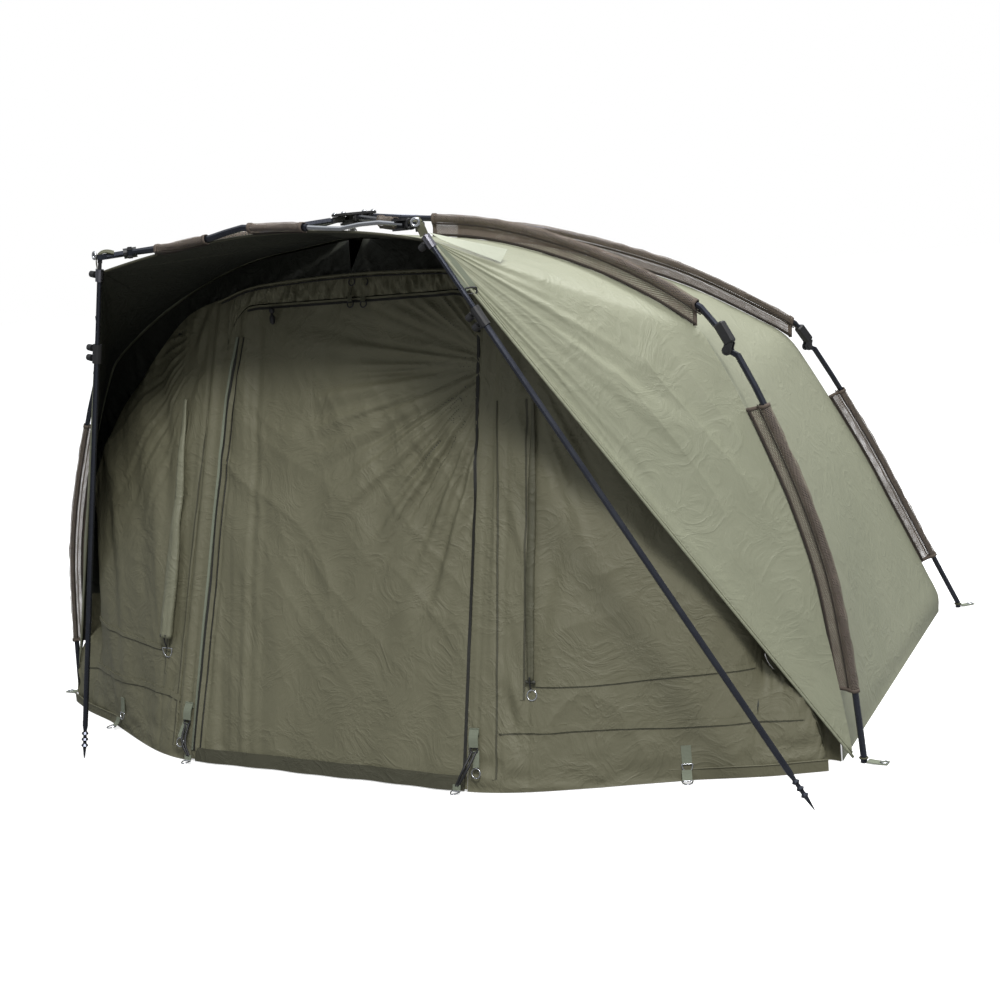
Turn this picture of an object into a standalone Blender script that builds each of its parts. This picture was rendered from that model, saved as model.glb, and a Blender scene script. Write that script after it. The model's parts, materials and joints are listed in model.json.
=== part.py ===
"""Bivvy tent: an umbrella frame with a pivot hub, six ribs, four folding legs and two
storm poles, dressed with a roof, side and rear panels, mesh tube sleeves and a closed front.

Metres, +Z up. The front faces -Y and +X is on the right of someone who looks at the front.
The origin is on the ground, in the middle of the footprint.
"""

import math

import bmesh
import bpy
import numpy as np
from mathutils import Matrix, Vector

# Overall sizes
HUB_HEIGHT = 1.417  # pivots of the ribs above the ground
HUB_Y = -0.036  # hub axis, in front of the plane through the side feet
SIDE_REACH = 1.300  # hub axis to a side foot
REAR_FOOT_X = 1.157
REAR_FOOT_Y = 1.513
CORNER_X = 0.491  # front corners of the roof frame
CORNER_Y = -0.492
CORNER_DROP = 0.042  # corners below the rib pivots
TIP_RIGHT_X = 1.287  # point of each storm pole on the ground
TIP_RIGHT_Y = -0.330
TIP_LEFT_X = -0.778
TIP_LEFT_Y = -0.516

# Frame tubes
RIB_D = 0.016
BAR_D = 0.017
ROD_D = 0.011
POLE_D = 0.0155
POLE_ROD_D = 0.0125
POLE_BORE_D = 0.0132
FIT = 0.0004  # gap between pieces that touch
RUN = 0.0010  # gap round pieces that turn
CUT = 0.004  # overrun of a cutter
JOIN = 0.002  # depth to which joined shapes reach into each other

# Hub
PIVOT_R = 0.050  # hub axis to each rib pivot
HUB_LOWER_R = 0.039
HUB_UPPER_R = 0.060
HUB_PLATE_T = 0.006
HUB_BOSS_R = 0.021
HUB_CROWN_R = 0.034
HUB_CROWN_DROP = 0.003  # top of the crown below the pivots
EAR_T = 0.004
EAR_H = 0.020
EAR_L = 0.034
LUG_W = 0.012
LUG_R = 0.0078
PIN_R = 0.0032
HEAD_R = 0.0062
HEAD_T = 0.0040

# Knuckles
KNUCKLE_OFF = 0.015  # pivot to tube axis, towards the inside
KNUCKLE_L = 0.058
KNUCKLE_W = 0.025
KNUCKLE_H = 0.026
CHEEK_T = 0.0035
CHEEK_R = 0.0125
LEG_START = 0.024  # along the leg, from the pivot to the end of its tube

# Corners and storm poles
COLLAR_END = 0.063  # distances along a pole, from its corner eye
COLLAR_START = 0.030
CLAMP_START = 0.228
CLAMP_END = 0.278
EYE_R = 0.013
EYE_WIRE_R = 0.0032
NECK_D = 0.010
COLLAR_D = 0.0215
CLAMP_D = 0.024
ROD_DEPTH_SHARE = 0.55  # of the tube below the clamp, that the rod fills
THREAD_L = 0.085
THREAD_D = 0.020
THREAD_PITCH = 0.018
KNOB_D = 0.019
KNOB_H = 0.015
KNOB_STEM_D = 0.008
KNOB_STAND = 0.004
COUPLER_SHARE = 0.115  # place of a bar coupler along the front rib, from the corner
COUPLER_D = 0.027
COUPLER_L = 0.034
SOCKET_D = 0.026

# Foot tabs
TAB_L = 0.052
TAB_W = 0.026
TAB_T = 0.003
TAB_HOLE_R = 0.0075

# Fabric
CLOTH = 0.002
HANG = 0.047  # rib axis to the canopy, bridged by the mesh sleeves
SEAM = 0.0022  # pull-back of a panel edge from its seam
SLEEVE_WALL = 0.0022
SLEEVE_FIT = 0.0003
WEB_T = 0.0030
WEB_GAP = 0.0008
APEX_R = 0.026
FABRIC_CORNER_X = 0.511
FABRIC_CORNER_Y = -0.478
FABRIC_CORNER_DROP = 0.079
EDGE_MID_Y = -0.432
EDGE_RISE = 0.034
BELLY = 0.030  # inward sag of a panel between two ribs
RIPPLE = 0.006
DOOR_HALF = 0.444
DOOR_Y = -0.449
DOOR_TOP_HALF = 0.414
DOOR_TOP_DROP = 0.207
DOOR_TOP_Y = -0.090
DOOR_CORNER_R = 0.085
DOOR_LIFT = 0.004
ARCH_Y = -0.030
ARCH_FOOT_X = 1.190
BASE_FOOT_Y = -0.018
RUCHE = 0.009
BAND_GAP = 0.014  # canopy seam to the gathered band
ZIP_GAP = 0.0008  # pull-back of the door and of the panels round it from their shared zip
KNUCKLE_BEVEL = 0.004
BAR_SPLIT_SHARE = 0.31  # where the brow bar's tube ends, of the corner's x
TAB_FIT = 0.0003

# Share tables: along each rib, (share of its reach, share of the hub height)
SIDE_UPPER_SHARES = (
    (0.128, 0.990), (0.292, 0.972), (0.455, 0.929), (0.609, 0.867), (0.750, 0.784), (0.800, 0.718)
)
SIDE_LOWER_SHARES = (
    (0.845, 0.634), (0.896, 0.522), (0.929, 0.4375), (0.957, 0.3465), (0.974, 0.259), (0.991, 0.124)
)
REAR_UPPER_SHARES = (
    (0.100, 0.990), (0.239, 0.960), (0.309, 0.939), (0.4206, 0.892), (0.536, 0.8307), (0.6544, 0.746)
)
REAR_KNUCKLE_SHARES = ((0.7056, 0.703), (0.7315, 0.660))
REAR_LOWER_SHARES = ((0.769, 0.583), (0.842, 0.419), (0.897, 0.278), (0.964, 0.103))
ARCH_X_SHARES = (0.0, 0.118, 0.272, 0.357, 0.486, 0.597, 0.672, 0.756, 0.857, 0.905, 0.950, 1.0)
ARCH_Z_SHARES = (0.900, 0.898, 0.891, 0.874, 0.843, 0.773, 0.713, 0.651, 0.545, 0.456, 0.247, 0.012)
BAR_X_SHARES = (-0.70, -0.33, -0.15, -0.04, 0.29, 0.62, 0.80)
BAR_RISE_SHARES = (0.10, 0.50, 1.00, 0.90, 0.62, 0.15, 0.40)
BAR_RISE = 0.032
BROW_SLEEVE_SHARES = (("left", -0.66, -0.33), ("right", -0.04, 0.29))
PEAK_START_SHARE = 0.075  # where the roof peak starts, from the apex to its front edge
FAN_TIP_SHARE = 0.02  # where a wing starts, from its corner to the seam
FAN_START_SHARE = 0.006  # where a wing starts along the side seam
FAN_APEX_SHARE = 0.09

CORNER_Z = HUB_HEIGHT - CORNER_DROP
FABRIC_CORNER_Z = HUB_HEIGHT - FABRIC_CORNER_DROP
DOOR_TOP_Z = HUB_HEIGHT - DOOR_TOP_DROP
FRONT_END = TIP_LEFT_Y - THREAD_D / 2
REAR_END = REAR_FOOT_Y + TAB_L + RUN * 4
MIDDLE_Y = (FRONT_END + REAR_END) / 2  # of the footprint, from the side feet
UP = Vector((0, 0, 1))


def at(x, y, z):
    """A point of the frame, with y counted from the plane through the side feet."""
    return Vector((x, y - MIDDLE_Y, z))


def material(name, colour, roughness, metallic=0.0):
    made = bpy.data.materials.new(name)
    made.use_nodes = True
    shader = made.node_tree.nodes["Principled BSDF"]
    shader.inputs["Base Color"].default_value = (*colour, 1)
    shader.inputs["Roughness"].default_value = roughness
    shader.inputs["Metallic"].default_value = metallic
    return made


def add(name, mesh, made, origin=None):
    """An object with its origin on its joint axis and its mesh where the frame has it."""
    origin = Vector(origin or (0, 0, 0))
    mesh.transform(Matrix.Translation(-origin))
    obj = bpy.data.objects.new(name, mesh)
    obj.location = origin
    mesh.materials.append(made)
    bpy.context.scene.collection.objects.link(obj)
    return obj


def smooth(mesh, angle=math.radians(40)):
    mesh.shade_smooth()
    mesh.set_sharp_from_angle(angle=angle)
    return mesh


def frame_along(points):
    """Side and up directions at each point of a path, turned as little as possible along it."""
    points = [Vector(p) for p in points]
    ways = []
    for i in range(len(points)):
        a, b = points[max(i - 1, 0)], points[min(i + 1, len(points) - 1)]
        ways.append((b - a).normalized())
    side = ways[0].orthogonal().normalized()
    sides = []
    for way in ways:
        side = (side - way * side.dot(way)).normalized()
        sides.append((side.copy(), way.cross(side)))
    return points, ways, sides


def sweep(path, radii, count=8, spin=0.5, axes=None):
    """A round bar along a path: rings of points about each path point, closed at both ends."""
    points, ways, sides = frame_along(path)
    radii = [radii] * len(points) if isinstance(radii, (int, float)) else radii
    bm, rings = bmesh.new(), []
    for point, (side, up), radius in zip(points, sides, radii):
        ring = []
        for k in range(count):
            turn = 2 * math.pi * (k + spin) / count
            ring.append(bm.verts.new(point + (side * math.cos(turn) + up * math.sin(turn)) * radius))
        rings.append(ring)
    for one, two in zip(rings, rings[1:]):
        for k in range(count):
            bm.faces.new((one[k], one[(k + 1) % count], two[(k + 1) % count], two[k]))
    bm.faces.new(rings[0][::-1])
    bm.faces.new(rings[-1])
    mesh = bpy.data.meshes.new("sweep")
    bmesh.ops.recalc_face_normals(bm, faces=bm.faces)
    bm.to_mesh(mesh)
    bm.free()
    return smooth(mesh)


def block(centre, ways, sizes, bevel=0.0):
    """A box with its sides along three directions, its edges bevelled if asked."""
    bm = bmesh.new()
    bmesh.ops.create_cube(bm, size=1)
    turn = Matrix([[ways[c][r] * sizes[c] for c in range(3)] for r in range(3)]).to_4x4()
    bm.transform(Matrix.Translation(centre) @ turn)
    bmesh.ops.recalc_face_normals(bm, faces=bm.faces)
    if bevel:
        bmesh.ops.bevel(bm, geom=bm.edges, offset=bevel, segments=1, profile=0.7, affect="EDGES")
    bmesh.ops.recalc_face_normals(bm, faces=bm.faces)
    mesh = bpy.data.meshes.new("block")
    bm.to_mesh(mesh)
    bm.free()
    return mesh


def bar(a, b, radius, count=12):
    return sweep([a, b], radius, count)


def combine(name, mesh, made, joined=(), cut=(), origin=None):
    """One solid from a first shape, the shapes joined to it and the shapes cut from it."""
    obj = add(name, mesh, made)
    for operation, shapes in (("UNION", joined), ("DIFFERENCE", cut)):
        for shape in shapes:
            helper = bpy.data.objects.new("guide", shape)
            helper.hide_render = True
            helper.display_type = "WIRE"
            bpy.context.scene.collection.objects.link(helper)
            step = obj.modifiers.new(operation.title(), "BOOLEAN")
            step.operation = operation
            step.object = helper
            step.solver = "EXACT"
    if origin:
        origin = Vector(origin)
        obj.data.transform(Matrix.Translation(-origin))
        obj.location = origin
    return obj


def cloth(name, grid, depth, made, origin=None):
    """A panel from a grid of points and a copy of it moved by depth, closed at the rim."""
    grid = np.array(grid, float)
    grid[..., 2] = np.maximum(grid[..., 2], 0)
    rows, cols = grid.shape[:2]
    depth = np.broadcast_to(np.asarray(depth, float), grid.shape)
    bm = bmesh.new()
    outer = [[bm.verts.new(grid[r, c]) for c in range(cols)] for r in range(rows)]
    moved = grid + depth
    moved[..., 2] = np.maximum(moved[..., 2], 0)
    inner = [[bm.verts.new(moved[r, c]) for c in range(cols)] for r in range(rows)]
    for r in range(rows - 1):
        for c in range(cols - 1):
            bm.faces.new((outer[r][c], outer[r][c + 1], outer[r + 1][c + 1], outer[r + 1][c]))
            bm.faces.new((inner[r][c], inner[r + 1][c], inner[r + 1][c + 1], inner[r][c + 1]))
    rim = [(r, 0) for r in range(rows - 1)] + [(rows - 1, c) for c in range(cols - 1)]
    rim += [(r, cols - 1) for r in range(rows - 1, 0, -1)] + [(0, c) for c in range(cols - 1, 0, -1)]
    for (r, c), (s, d) in zip(rim, rim[1:] + rim[:1]):
        bm.faces.new((outer[r][c], outer[s][d], inner[s][d], inner[r][c]))
    bmesh.ops.recalc_face_normals(bm, faces=bm.faces)
    bmesh.ops.triangulate(bm, faces=bm.faces)
    mesh = bpy.data.meshes.new(name)
    bm.to_mesh(mesh)
    bm.free()
    return add(name, smooth(mesh), made, origin)


def along(points, steps):
    """Evenly spaced points on a smooth curve through the given ones."""
    points = np.asarray([tuple(p) for p in points], float)
    ends = np.vstack([2 * points[0] - points[1], points, 2 * points[-1] - points[-2]])
    fine = []
    for k in range(1, len(ends) - 2):
        a, b, c, d = ends[k - 1 : k + 3]
        for t in np.linspace(0, 1, 12, endpoint=False):
            square, cube = 2 * a - 5 * b + 4 * c - d, 3 * b - a - 3 * c + d
            fine.append(0.5 * (2 * b + (c - a) * t + square * t**2 + cube * t**3))
    fine = np.array(fine + [points[-1]])
    run = np.r_[0, np.cumsum(np.linalg.norm(np.diff(fine, axis=0), axis=1))]
    shares = np.linspace(0, 1, steps) if np.isscalar(steps) else np.asarray(steps)
    return np.stack([np.interp(shares * run[-1], run, fine[:, k]) for k in range(3)], axis=1)


class Rib:
    """The line of a rib or leg in its own upright plane through the hub axis."""

    def __init__(self, foot_x, foot_y):
        self.hub = at(0, HUB_Y, HUB_HEIGHT)
        flat = at(foot_x, foot_y, 0) - at(0, HUB_Y, 0)
        self.reach = flat.length
        self.out = flat.normalized()
        # Hinge direction: a positive turn folds a rib down and a leg inwards
        self.across = UP.cross(self.out).normalized()

    def point(self, reach_share, height_share):
        here = self.hub + self.out * (self.reach * reach_share)
        here.z = HUB_HEIGHT * height_share
        return here

    def pivot(self):
        return self.hub + self.out * PIVOT_R

    def inward(self, way):
        """The direction square to the tube, in the rib's plane, that points into the tent."""
        side = self.across.cross(way).normalized()
        return side if side.dot(self.out) - side.z < 0 or side.z < 0 else -side


for old in list(bpy.data.objects):
    bpy.data.objects.remove(old)

TUBE = material("frame_tube", (0.030, 0.034, 0.042), 0.35, 0.8)
BLACK = material("black_moulding", (0.018, 0.018, 0.020), 0.5)
CHROME = material("bright_metal", (0.62, 0.63, 0.66), 0.18, 1.0)
CANOPY = material("canopy_cloth", (0.30, 0.31, 0.23), 0.75)
FRONT = material("front_cloth", (0.13, 0.13, 0.085), 0.8)
MESH = material("sleeve_mesh", (0.15, 0.125, 0.10), 0.9)
WEBBING = material("webbing", (0.26, 0.28, 0.22), 0.85)

SIDES = (("right", 1), ("left", -1))


def clevis(centre, way, across, back, front):
    """Two ears and the headed pin between them. Back and front are the ears' reach along way."""
    wide = LUG_W / 2 + RUN + EAR_T / 2
    shapes = []
    for hand in (1, -1):
        middle = centre + across * (hand * wide) + way * ((front - back) / 2)
        shapes.append(block(middle, (way, across, way.cross(across)), (front + back, EAR_T, EAR_H * 0.75)))
    end = wide + EAR_T / 2 + HEAD_T
    near = wide + EAR_T / 2 - JOIN
    shapes.append(bar(centre - across * near, centre + across * near, PIN_R, 8))
    for hand in (1, -1):
        shapes.append(
            bar(centre + across * (hand * (near - JOIN / 2)), centre + across * (hand * end), HEAD_R, 8)
        )
    return shapes


def lug(centre, across, ahead):
    """The eye that turns between two ears, with a neck that reaches ahead to its tube."""
    half = across * (LUG_W / 2)
    way = ahead.normalized()
    neck = block(centre + ahead / 2, (way, across, way.cross(across)), (ahead.length, LUG_W, LUG_R * 1.5))
    return [bar(centre - half, centre + half, LUG_R, 10), neck]


def eye_hole(centre, across):
    reach = across * (LUG_W / 2 + CUT)
    return bar(centre - reach, centre + reach, (PIN_R + FIT) / math.cos(math.pi / 8), 8)


def extended(points, extra):
    points = [Vector(p) for p in points]
    first = points[0] + (points[0] - points[1]).normalized() * extra
    last = points[-1] + (points[-1] - points[-2]).normalized() * extra
    return [first] + points[1:-1] + [last]


def sleeve(name, path, downs, depth, tube_d, origin=None):
    """A mesh sleeve: a loop round the tube and a web that reaches down to the panel's seam."""
    hole_r = (tube_d / 2 + SLEEVE_FIT) / math.cos(math.pi / 8)
    loop_r = hole_r + SLEEVE_WALL
    points, ways, _ = frame_along(path)
    bm, rings = bmesh.new(), []
    turns = [math.radians(a) for a in (-52, -10, 40, 90, 140, 190, 232)]
    flat = [(loop_r * math.cos(a), loop_r * math.sin(a)) for a in turns]
    for point, way, down, deep in zip(points, ways, downs, depth):
        down = (down - way * down.dot(way)).normalized()
        side = way.cross(down)
        ring = [bm.verts.new(point + side * a - down * b) for a, b in flat]
        for a, b in ((-WEB_T / 2, loop_r), (-WEB_T / 2, deep), (WEB_T / 2, deep), (WEB_T / 2, loop_r)):
            ring.append(bm.verts.new(point + side * a + down * b))
        rings.append(ring)
    count = len(rings[0])
    for one, two in zip(rings, rings[1:]):
        for k in range(count):
            bm.faces.new((one[k], one[(k + 1) % count], two[(k + 1) % count], two[k]))
    bm.faces.new(rings[0][::-1])
    bm.faces.new(rings[-1])
    bmesh.ops.recalc_face_normals(bm, faces=bm.faces)
    mesh = bpy.data.meshes.new(name)
    bm.to_mesh(mesh)
    bm.free()
    hole = sweep(extended(path, CUT), hole_r, 8)
    return combine(name, mesh, MESH, cut=[hole], origin=origin)


def inward_normals(grid, inside):
    """Unit normals of a grid of points, turned towards a point inside the tent."""
    along_rows = np.gradient(grid, axis=0)
    along_cols = np.gradient(grid, axis=1)
    found = np.cross(along_rows, along_cols)
    found /= np.maximum(np.linalg.norm(found, axis=2, keepdims=True), 1e-12)
    flip = ((np.array(inside) - grid) * found).sum(axis=2, keepdims=True) < 0
    return np.where(flip.mean() > 0.5, -found, found)


def between(first, last, cols, rise=0.0, ripple=0.0, waves=0):
    """A grid between two edge lines, pulled back from both seams, with its belly and ripples."""
    gap = np.linalg.norm(last - first, axis=1, keepdims=True)
    share = np.minimum(SEAM / gap, 0.4)
    grid = []
    for u in np.linspace(0, 1, cols):
        grid.append(first + (last - first) * (share + (1 - 2 * share) * u))
    grid = np.stack(grid, axis=1)
    u = np.linspace(0, 1, cols)[None, :]
    t = np.linspace(0, 1, len(first))[:, None]
    normals = inward_normals(grid, INSIDE)
    push = rise * np.sin(np.pi * u) * np.sin(np.pi * np.minimum(t * 1.6, 1) / 2)
    push = push * np.sqrt(np.clip((1 - t) * 4, 0, 1))
    push = push + ripple * np.sin(np.pi * u) * np.sin(2 * np.pi * waves * t)
    return grid + normals * push[..., None]


INSIDE = at(0, REAR_FOOT_Y * 0.41, HUB_HEIGHT * 0.39)
PLATE_TOP = HUB_HEIGHT + RIB_D / 2 + RUN
hub = at(0, HUB_Y, HUB_HEIGHT)
PLATE_LOW = HUB_HEIGHT - EAR_H / 2 - HUB_PLATE_T

# Hub: a lower moulding with six clevises, and a cover plate
ribs = {}
for label, hand in SIDES:
    ribs["front", label] = Rib(hand * CORNER_X, CORNER_Y)
    ribs["side", label] = Rib(hand * SIDE_REACH, 0)
    ribs["rear", label] = Rib(hand * REAR_FOOT_X, REAR_FOOT_Y)
ears = []
for rib in ribs.values():
    ears += clevis(rib.pivot(), rib.out, rib.across, EAR_L - EAR_H / 2, LUG_R)
centre_low, centre_top = hub.copy(), hub.copy()
centre_low.z, centre_top.z = PLATE_LOW, PLATE_TOP - FIT
plate_end = hub.copy()
plate_end.z = PLATE_LOW + HUB_PLATE_T
crown = hub - UP * HUB_CROWN_DROP
bosses = [
    bar(centre_low + UP * JOIN, crown, HUB_CROWN_R, 16),
    bar(centre_low + UP * JOIN * 1.5, centre_top, HUB_BOSS_R, 12),
]
combine("hub_block", bar(centre_low, plate_end, HUB_LOWER_R, 16), BLACK, bosses + ears)
top_a, top_b = hub.copy(), hub.copy()
top_a.z, top_b.z = PLATE_TOP, PLATE_TOP + HUB_PLATE_T
add("hub_cover_plate", bar(top_a, top_b, HUB_UPPER_R, 20), BLACK)

# Ribs, knuckles, legs and foot tabs
lines = {}
for kind in ("side", "rear"):
    upper = SIDE_UPPER_SHARES if kind == "side" else REAR_UPPER_SHARES + REAR_KNUCKLE_SHARES
    lower = SIDE_LOWER_SHARES if kind == "side" else REAR_LOWER_SHARES
    for label, hand in SIDES:
        rib = ribs[kind, label]
        pivot = rib.pivot()
        knots = [pivot] + [rib.point(*s) for s in upper]
        full = along(knots + [rib.point(*s) for s in lower] + [rib.point(1, 0)], 121)
        knee = Vector(full[np.argmin(np.linalg.norm(full - np.array(knots[-1]), axis=1))])
        split = int(np.argmin(np.linalg.norm(full - np.array(knots[-1]), axis=1)))
        way_up = Vector(full[split] - full[split - 3]).normalized()
        way_down = Vector(full[split + 3] - full[split]).normalized()
        inner = rib.across.cross((way_up + way_down).normalized())
        inner = inner if inner.z < 0 else -inner
        hinge = knee + inner * KNUCKLE_OFF
        lines[kind, label] = full, split, hinge
        neck_end = pivot + rib.out * (LUG_R * 2)
        tube_path = [neck_end - rib.out * JOIN]
        tube_path += [Vector(p) for p in full[6 : split - 1 : 6]]
        tube_path.append(knee - way_up * (KNUCKLE_OFF * 1.2))
        combine(
            f"{kind}_rib_{label}",
            sweep(tube_path, RIB_D / 2),
            TUBE,
            lug(pivot, rib.across, neck_end - pivot),
            [eye_hole(pivot, rib.across)],
            pivot,
        )

        block_far = knee - way_up * (LUG_R + RUN * 2)
        middle = block_far - way_up * (KNUCKLE_L / 2)
        third = rib.across.cross(way_up)
        wide = LUG_W / 2 + RUN + CHEEK_T / 2
        cheeks = []
        for side_hand in (1, -1):
            off = rib.across * (side_hand * wide)
            half = rib.across * (CHEEK_T / 2)
            cheeks.append(bar(hinge + off - half, hinge + off + half, CHEEK_R, 12))
            reach = block_far - way_up * JOIN * 2 - hinge
            along_cheek = reach.normalized()
            cheek_ways = (along_cheek, rib.across, along_cheek.cross(rib.across))
            cheek_size = (reach.length + JOIN, CHEEK_T, CHEEK_R * 1.6)
            cheeks.append(block(hinge + off + reach / 2, cheek_ways, cheek_size))
        pin = rib.across * (wide + CHEEK_T / 2 + HEAD_T / 2)
        cheeks.append(bar(hinge - pin, hinge + pin, PIN_R, 8))
        for side_hand in (1, -1):
            cheeks.append(bar(hinge + pin * (side_hand * 0.75), hinge + pin * side_hand, HEAD_R, 8))
        bore = sweep(extended(tube_path[-4:], CUT * 2), (RIB_D / 2 + FIT) / math.cos(math.pi / 8))
        combine(
            f"{kind}_knuckle_{label}",
            block(middle, (way_up, rib.across, third), (KNUCKLE_L, KNUCKLE_W, KNUCKLE_H), KNUCKLE_BEVEL),
            BLACK,
            cheeks,
            [bore],
            hinge,
        )

        start = knee + way_down * LEG_START
        leg_path = [start - way_down * JOIN]
        leg_path += [Vector(p) for p in full[split + 6 : -4 : 6]]
        leg_path += [rib.point(1, 0) + UP * RIB_D, rib.point(1, 0)]
        combine(
            f"{kind}_leg_{label}",
            sweep(leg_path, RIB_D / 2),
            TUBE,
            lug(hinge, rib.across, start - hinge),
            [eye_hole(hinge, rib.across)],
            hinge,
        )

        foot = rib.point(1, 0)
        tab = block(
            foot + rib.out * (RIB_D / 2 + TAB_FIT + TAB_L / 2) + UP * (TAB_T / 2),
            (rib.out, rib.across, UP),
            (TAB_L, TAB_W, TAB_T),
        )
        hole = foot + rib.out * (RIB_D / 2 + TAB_L - TAB_HOLE_R * 1.6)
        combine(
            f"{kind}_foot_tab_{label}",
            tab,
            WEBBING,
            cut=[bar(hole - UP * CUT, hole + UP * (TAB_T + CUT), TAB_HOLE_R, 12)],
        )

        # Mesh sleeves on the rib and on the leg
        normals = []
        for i in range(len(full)):
            a, b = full[max(i - 1, 0)], full[min(i + 1, len(full) - 1)]
            way = Vector(b - a).normalized()
            side = rib.across.cross(way)
            normals.append(side if side.z < 0 else -side)
        deep = HANG - WEB_GAP
        for part_name, picks in (("upper", range(12, split - 9, 6)), ("lower", range(split + 6, 110, 6))):
            owner = pivot if part_name == "upper" else hinge
            sleeve(
                f"{kind}_sleeve_{part_name}_{label}",
                [Vector(full[k]) for k in picks],
                [normals[k] for k in picks],
                [deep] * len(picks),
                RIB_D,
                owner,
            )
        lines[kind, label, "normals"] = normals

# Front ribs, brow bar and storm poles
for label, hand in SIDES:
    rib = ribs["front", label]
    pivot = rib.pivot()
    corner = at(hand * CORNER_X, CORNER_Y, CORNER_Z)
    way = (corner - pivot).normalized()
    neck_end = pivot + way * (LUG_R * 2)
    tail = corner - way * (LUG_R + RUN * 2)
    wide = LUG_W + 2 * RUN + 2 * EAR_T
    yoke = block(
        tail - way * EAR_T, (way, rib.across, way.cross(rib.across)), (EAR_T * 2, wide, EAR_H * 0.75)
    )
    forks = clevis(corner, way, rib.across, LUG_R + RUN * 2 + EAR_T, LUG_R)
    shapes = lug(pivot, rib.across, neck_end - pivot) + forks + [yoke]
    tube = sweep([neck_end - way * JOIN, tail - way * EAR_T], RIB_D / 2)
    combine(f"front_rib_{label}", tube, TUBE, shapes, [eye_hole(pivot, rib.across)], pivot)

    tip = at(TIP_RIGHT_X, TIP_RIGHT_Y, 0) if hand > 0 else at(TIP_LEFT_X, TIP_LEFT_Y, 0)
    down = (tip - corner).normalized()
    length = (tip - corner).length
    across = rib.across
    neck = down * COLLAR_START
    plumb = (down - across * down.dot(across)).normalized() * (LUG_R * 1.9)
    eye = sweep([corner + plumb * 0.8, corner + neck * 0.75, corner + neck], NECK_D / 2, 10)
    combine(
        f"corner_swivel_{label}",
        eye,
        CHROME,
        lug(corner, across, plumb),
        [eye_hole(corner, across)],
        corner,
    )
    knob_way = Vector((-1, 0, 0))
    knob_way = (knob_way - down * knob_way.dot(down)).normalized()
    rod_hole = bar(
        corner + down * (COLLAR_START - CUT), corner + down * (COLLAR_END + CUT), POLE_ROD_D / 2 + FIT, 12
    )
    collar = bar(corner + down * (COLLAR_START + FIT), corner + down * COLLAR_END, COLLAR_D / 2, 12)
    combine(f"pole_collar_{label}", collar, BLACK, cut=[rod_hole], origin=corner)
    rod_end = CLAMP_END + (length - THREAD_L - CLAMP_END) * ROD_DEPTH_SHARE
    add(
        f"pole_rod_{label}",
        bar(corner + down * (COLLAR_START + FIT), corner + down * rod_end, POLE_ROD_D / 2),
        TUBE,
        corner,
    )
    tube_top = CLAMP_START + EAR_T
    clamp_hole = bar(
        corner + down * (CLAMP_START - CUT), corner + down * (CLAMP_END + CUT), POLE_D / 2 + FIT, 12
    )
    clamp = bar(corner + down * CLAMP_START, corner + down * CLAMP_END, CLAMP_D / 2, 12)
    combine(f"pole_clamp_{label}", clamp, BLACK, cut=[clamp_hole], origin=corner)
    spots, radii = [tube_top, length - THREAD_L - POLE_D, length - THREAD_L], [
        POLE_D / 2, POLE_D / 2, POLE_D / 3
    ]
    turns = int(THREAD_L * 0.7 / THREAD_PITCH)
    for k in range(turns):
        for share, radius in ((0.2, POLE_D / 3), (0.5, THREAD_D / 2), (0.8, POLE_D / 3)):
            spots.append(length - THREAD_L + THREAD_PITCH * (k + share))
            radii.append(radius)
    spots.append(length - POLE_D / 12)
    radii.append(POLE_D / 12)
    inside = bar(
        corner + down * (tube_top - CUT),
        corner + down * (rod_end + CLAMP_START - COLLAR_END + CUT),
        POLE_BORE_D / 2,
    )
    pole = sweep([corner + down * s for s in spots], radii)
    combine(f"pole_tube_{label}", pole, TUBE, cut=[inside], origin=corner)
    knob_spots = (
        ("collar", (COLLAR_START + COLLAR_END) / 2, COLLAR_D),
        ("clamp_upper", CLAMP_START + KNOB_D * 0.62, CLAMP_D),
        ("clamp_lower", CLAMP_END - KNOB_D * 0.62, CLAMP_D),
    )
    for place, spot, surface in knob_spots:
        base = corner + down * spot + knob_way * (surface / 2 * math.cos(math.pi / 12) + FIT)
        path = [
            base,
            base + knob_way * KNOB_STAND,
            base + knob_way * (KNOB_STAND + FIT),
            base + knob_way * (KNOB_STAND + KNOB_H),
        ]
        add(
            f"{place}_knob_{label}",
            sweep(path, [KNOB_STEM_D / 2, KNOB_STEM_D / 2, KNOB_D / 2, KNOB_D / 2.2], 10),
            BLACK,
            base,
        )

    # Coupler on the rib, near its corner
    spot = corner.lerp(rib.hub, COUPLER_SHARE)
    ahead = -Vector((way.y, -way.x, 0)).normalized() * hand
    ahead = ahead if ahead.y < 0 else -ahead
    grip = bar(spot - way * (COUPLER_L / 2), spot + way * (COUPLER_L / 2), COUPLER_D / 2, 12)
    through = bar(
        spot - way * COUPLER_L, spot + way * COUPLER_L, (RIB_D / 2 + FIT) / math.cos(math.pi / 8), 12
    )
    seat = spot + ahead * (COUPLER_D / 2 + LUG_R + RUN * 2)
    if hand < 0:
        forks = clevis(seat, ahead, UP, LUG_R + RUN * 2 + JOIN * 2, LUG_R)
        combine("bar_coupler_left", grip, BLACK, forks, [through])
    else:
        mirror = Vector((-seat.x, seat.y, seat.z))
        saddle = block(
            seat - ahead * RUN,
            (Vector((1, 0, 0)), Vector((0, 1, 0)), UP),
            (COUPLER_L * 0.8, SOCKET_D + RUN * 2, SOCKET_D + RUN * 2),
        )
        groove = block(
            seat - Vector((0, SOCKET_D / 2, 0)),
            (Vector((1, 0, 0)), Vector((0, 1, 0)), UP),
            (COUPLER_L, SOCKET_D + ROD_D + RUN * 2, ROD_D + RUN * 6),
        )
        combine("bar_coupler_right", grip, BLACK, [saddle], [through, groove])
    ribs["seat", label] = seat

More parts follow.
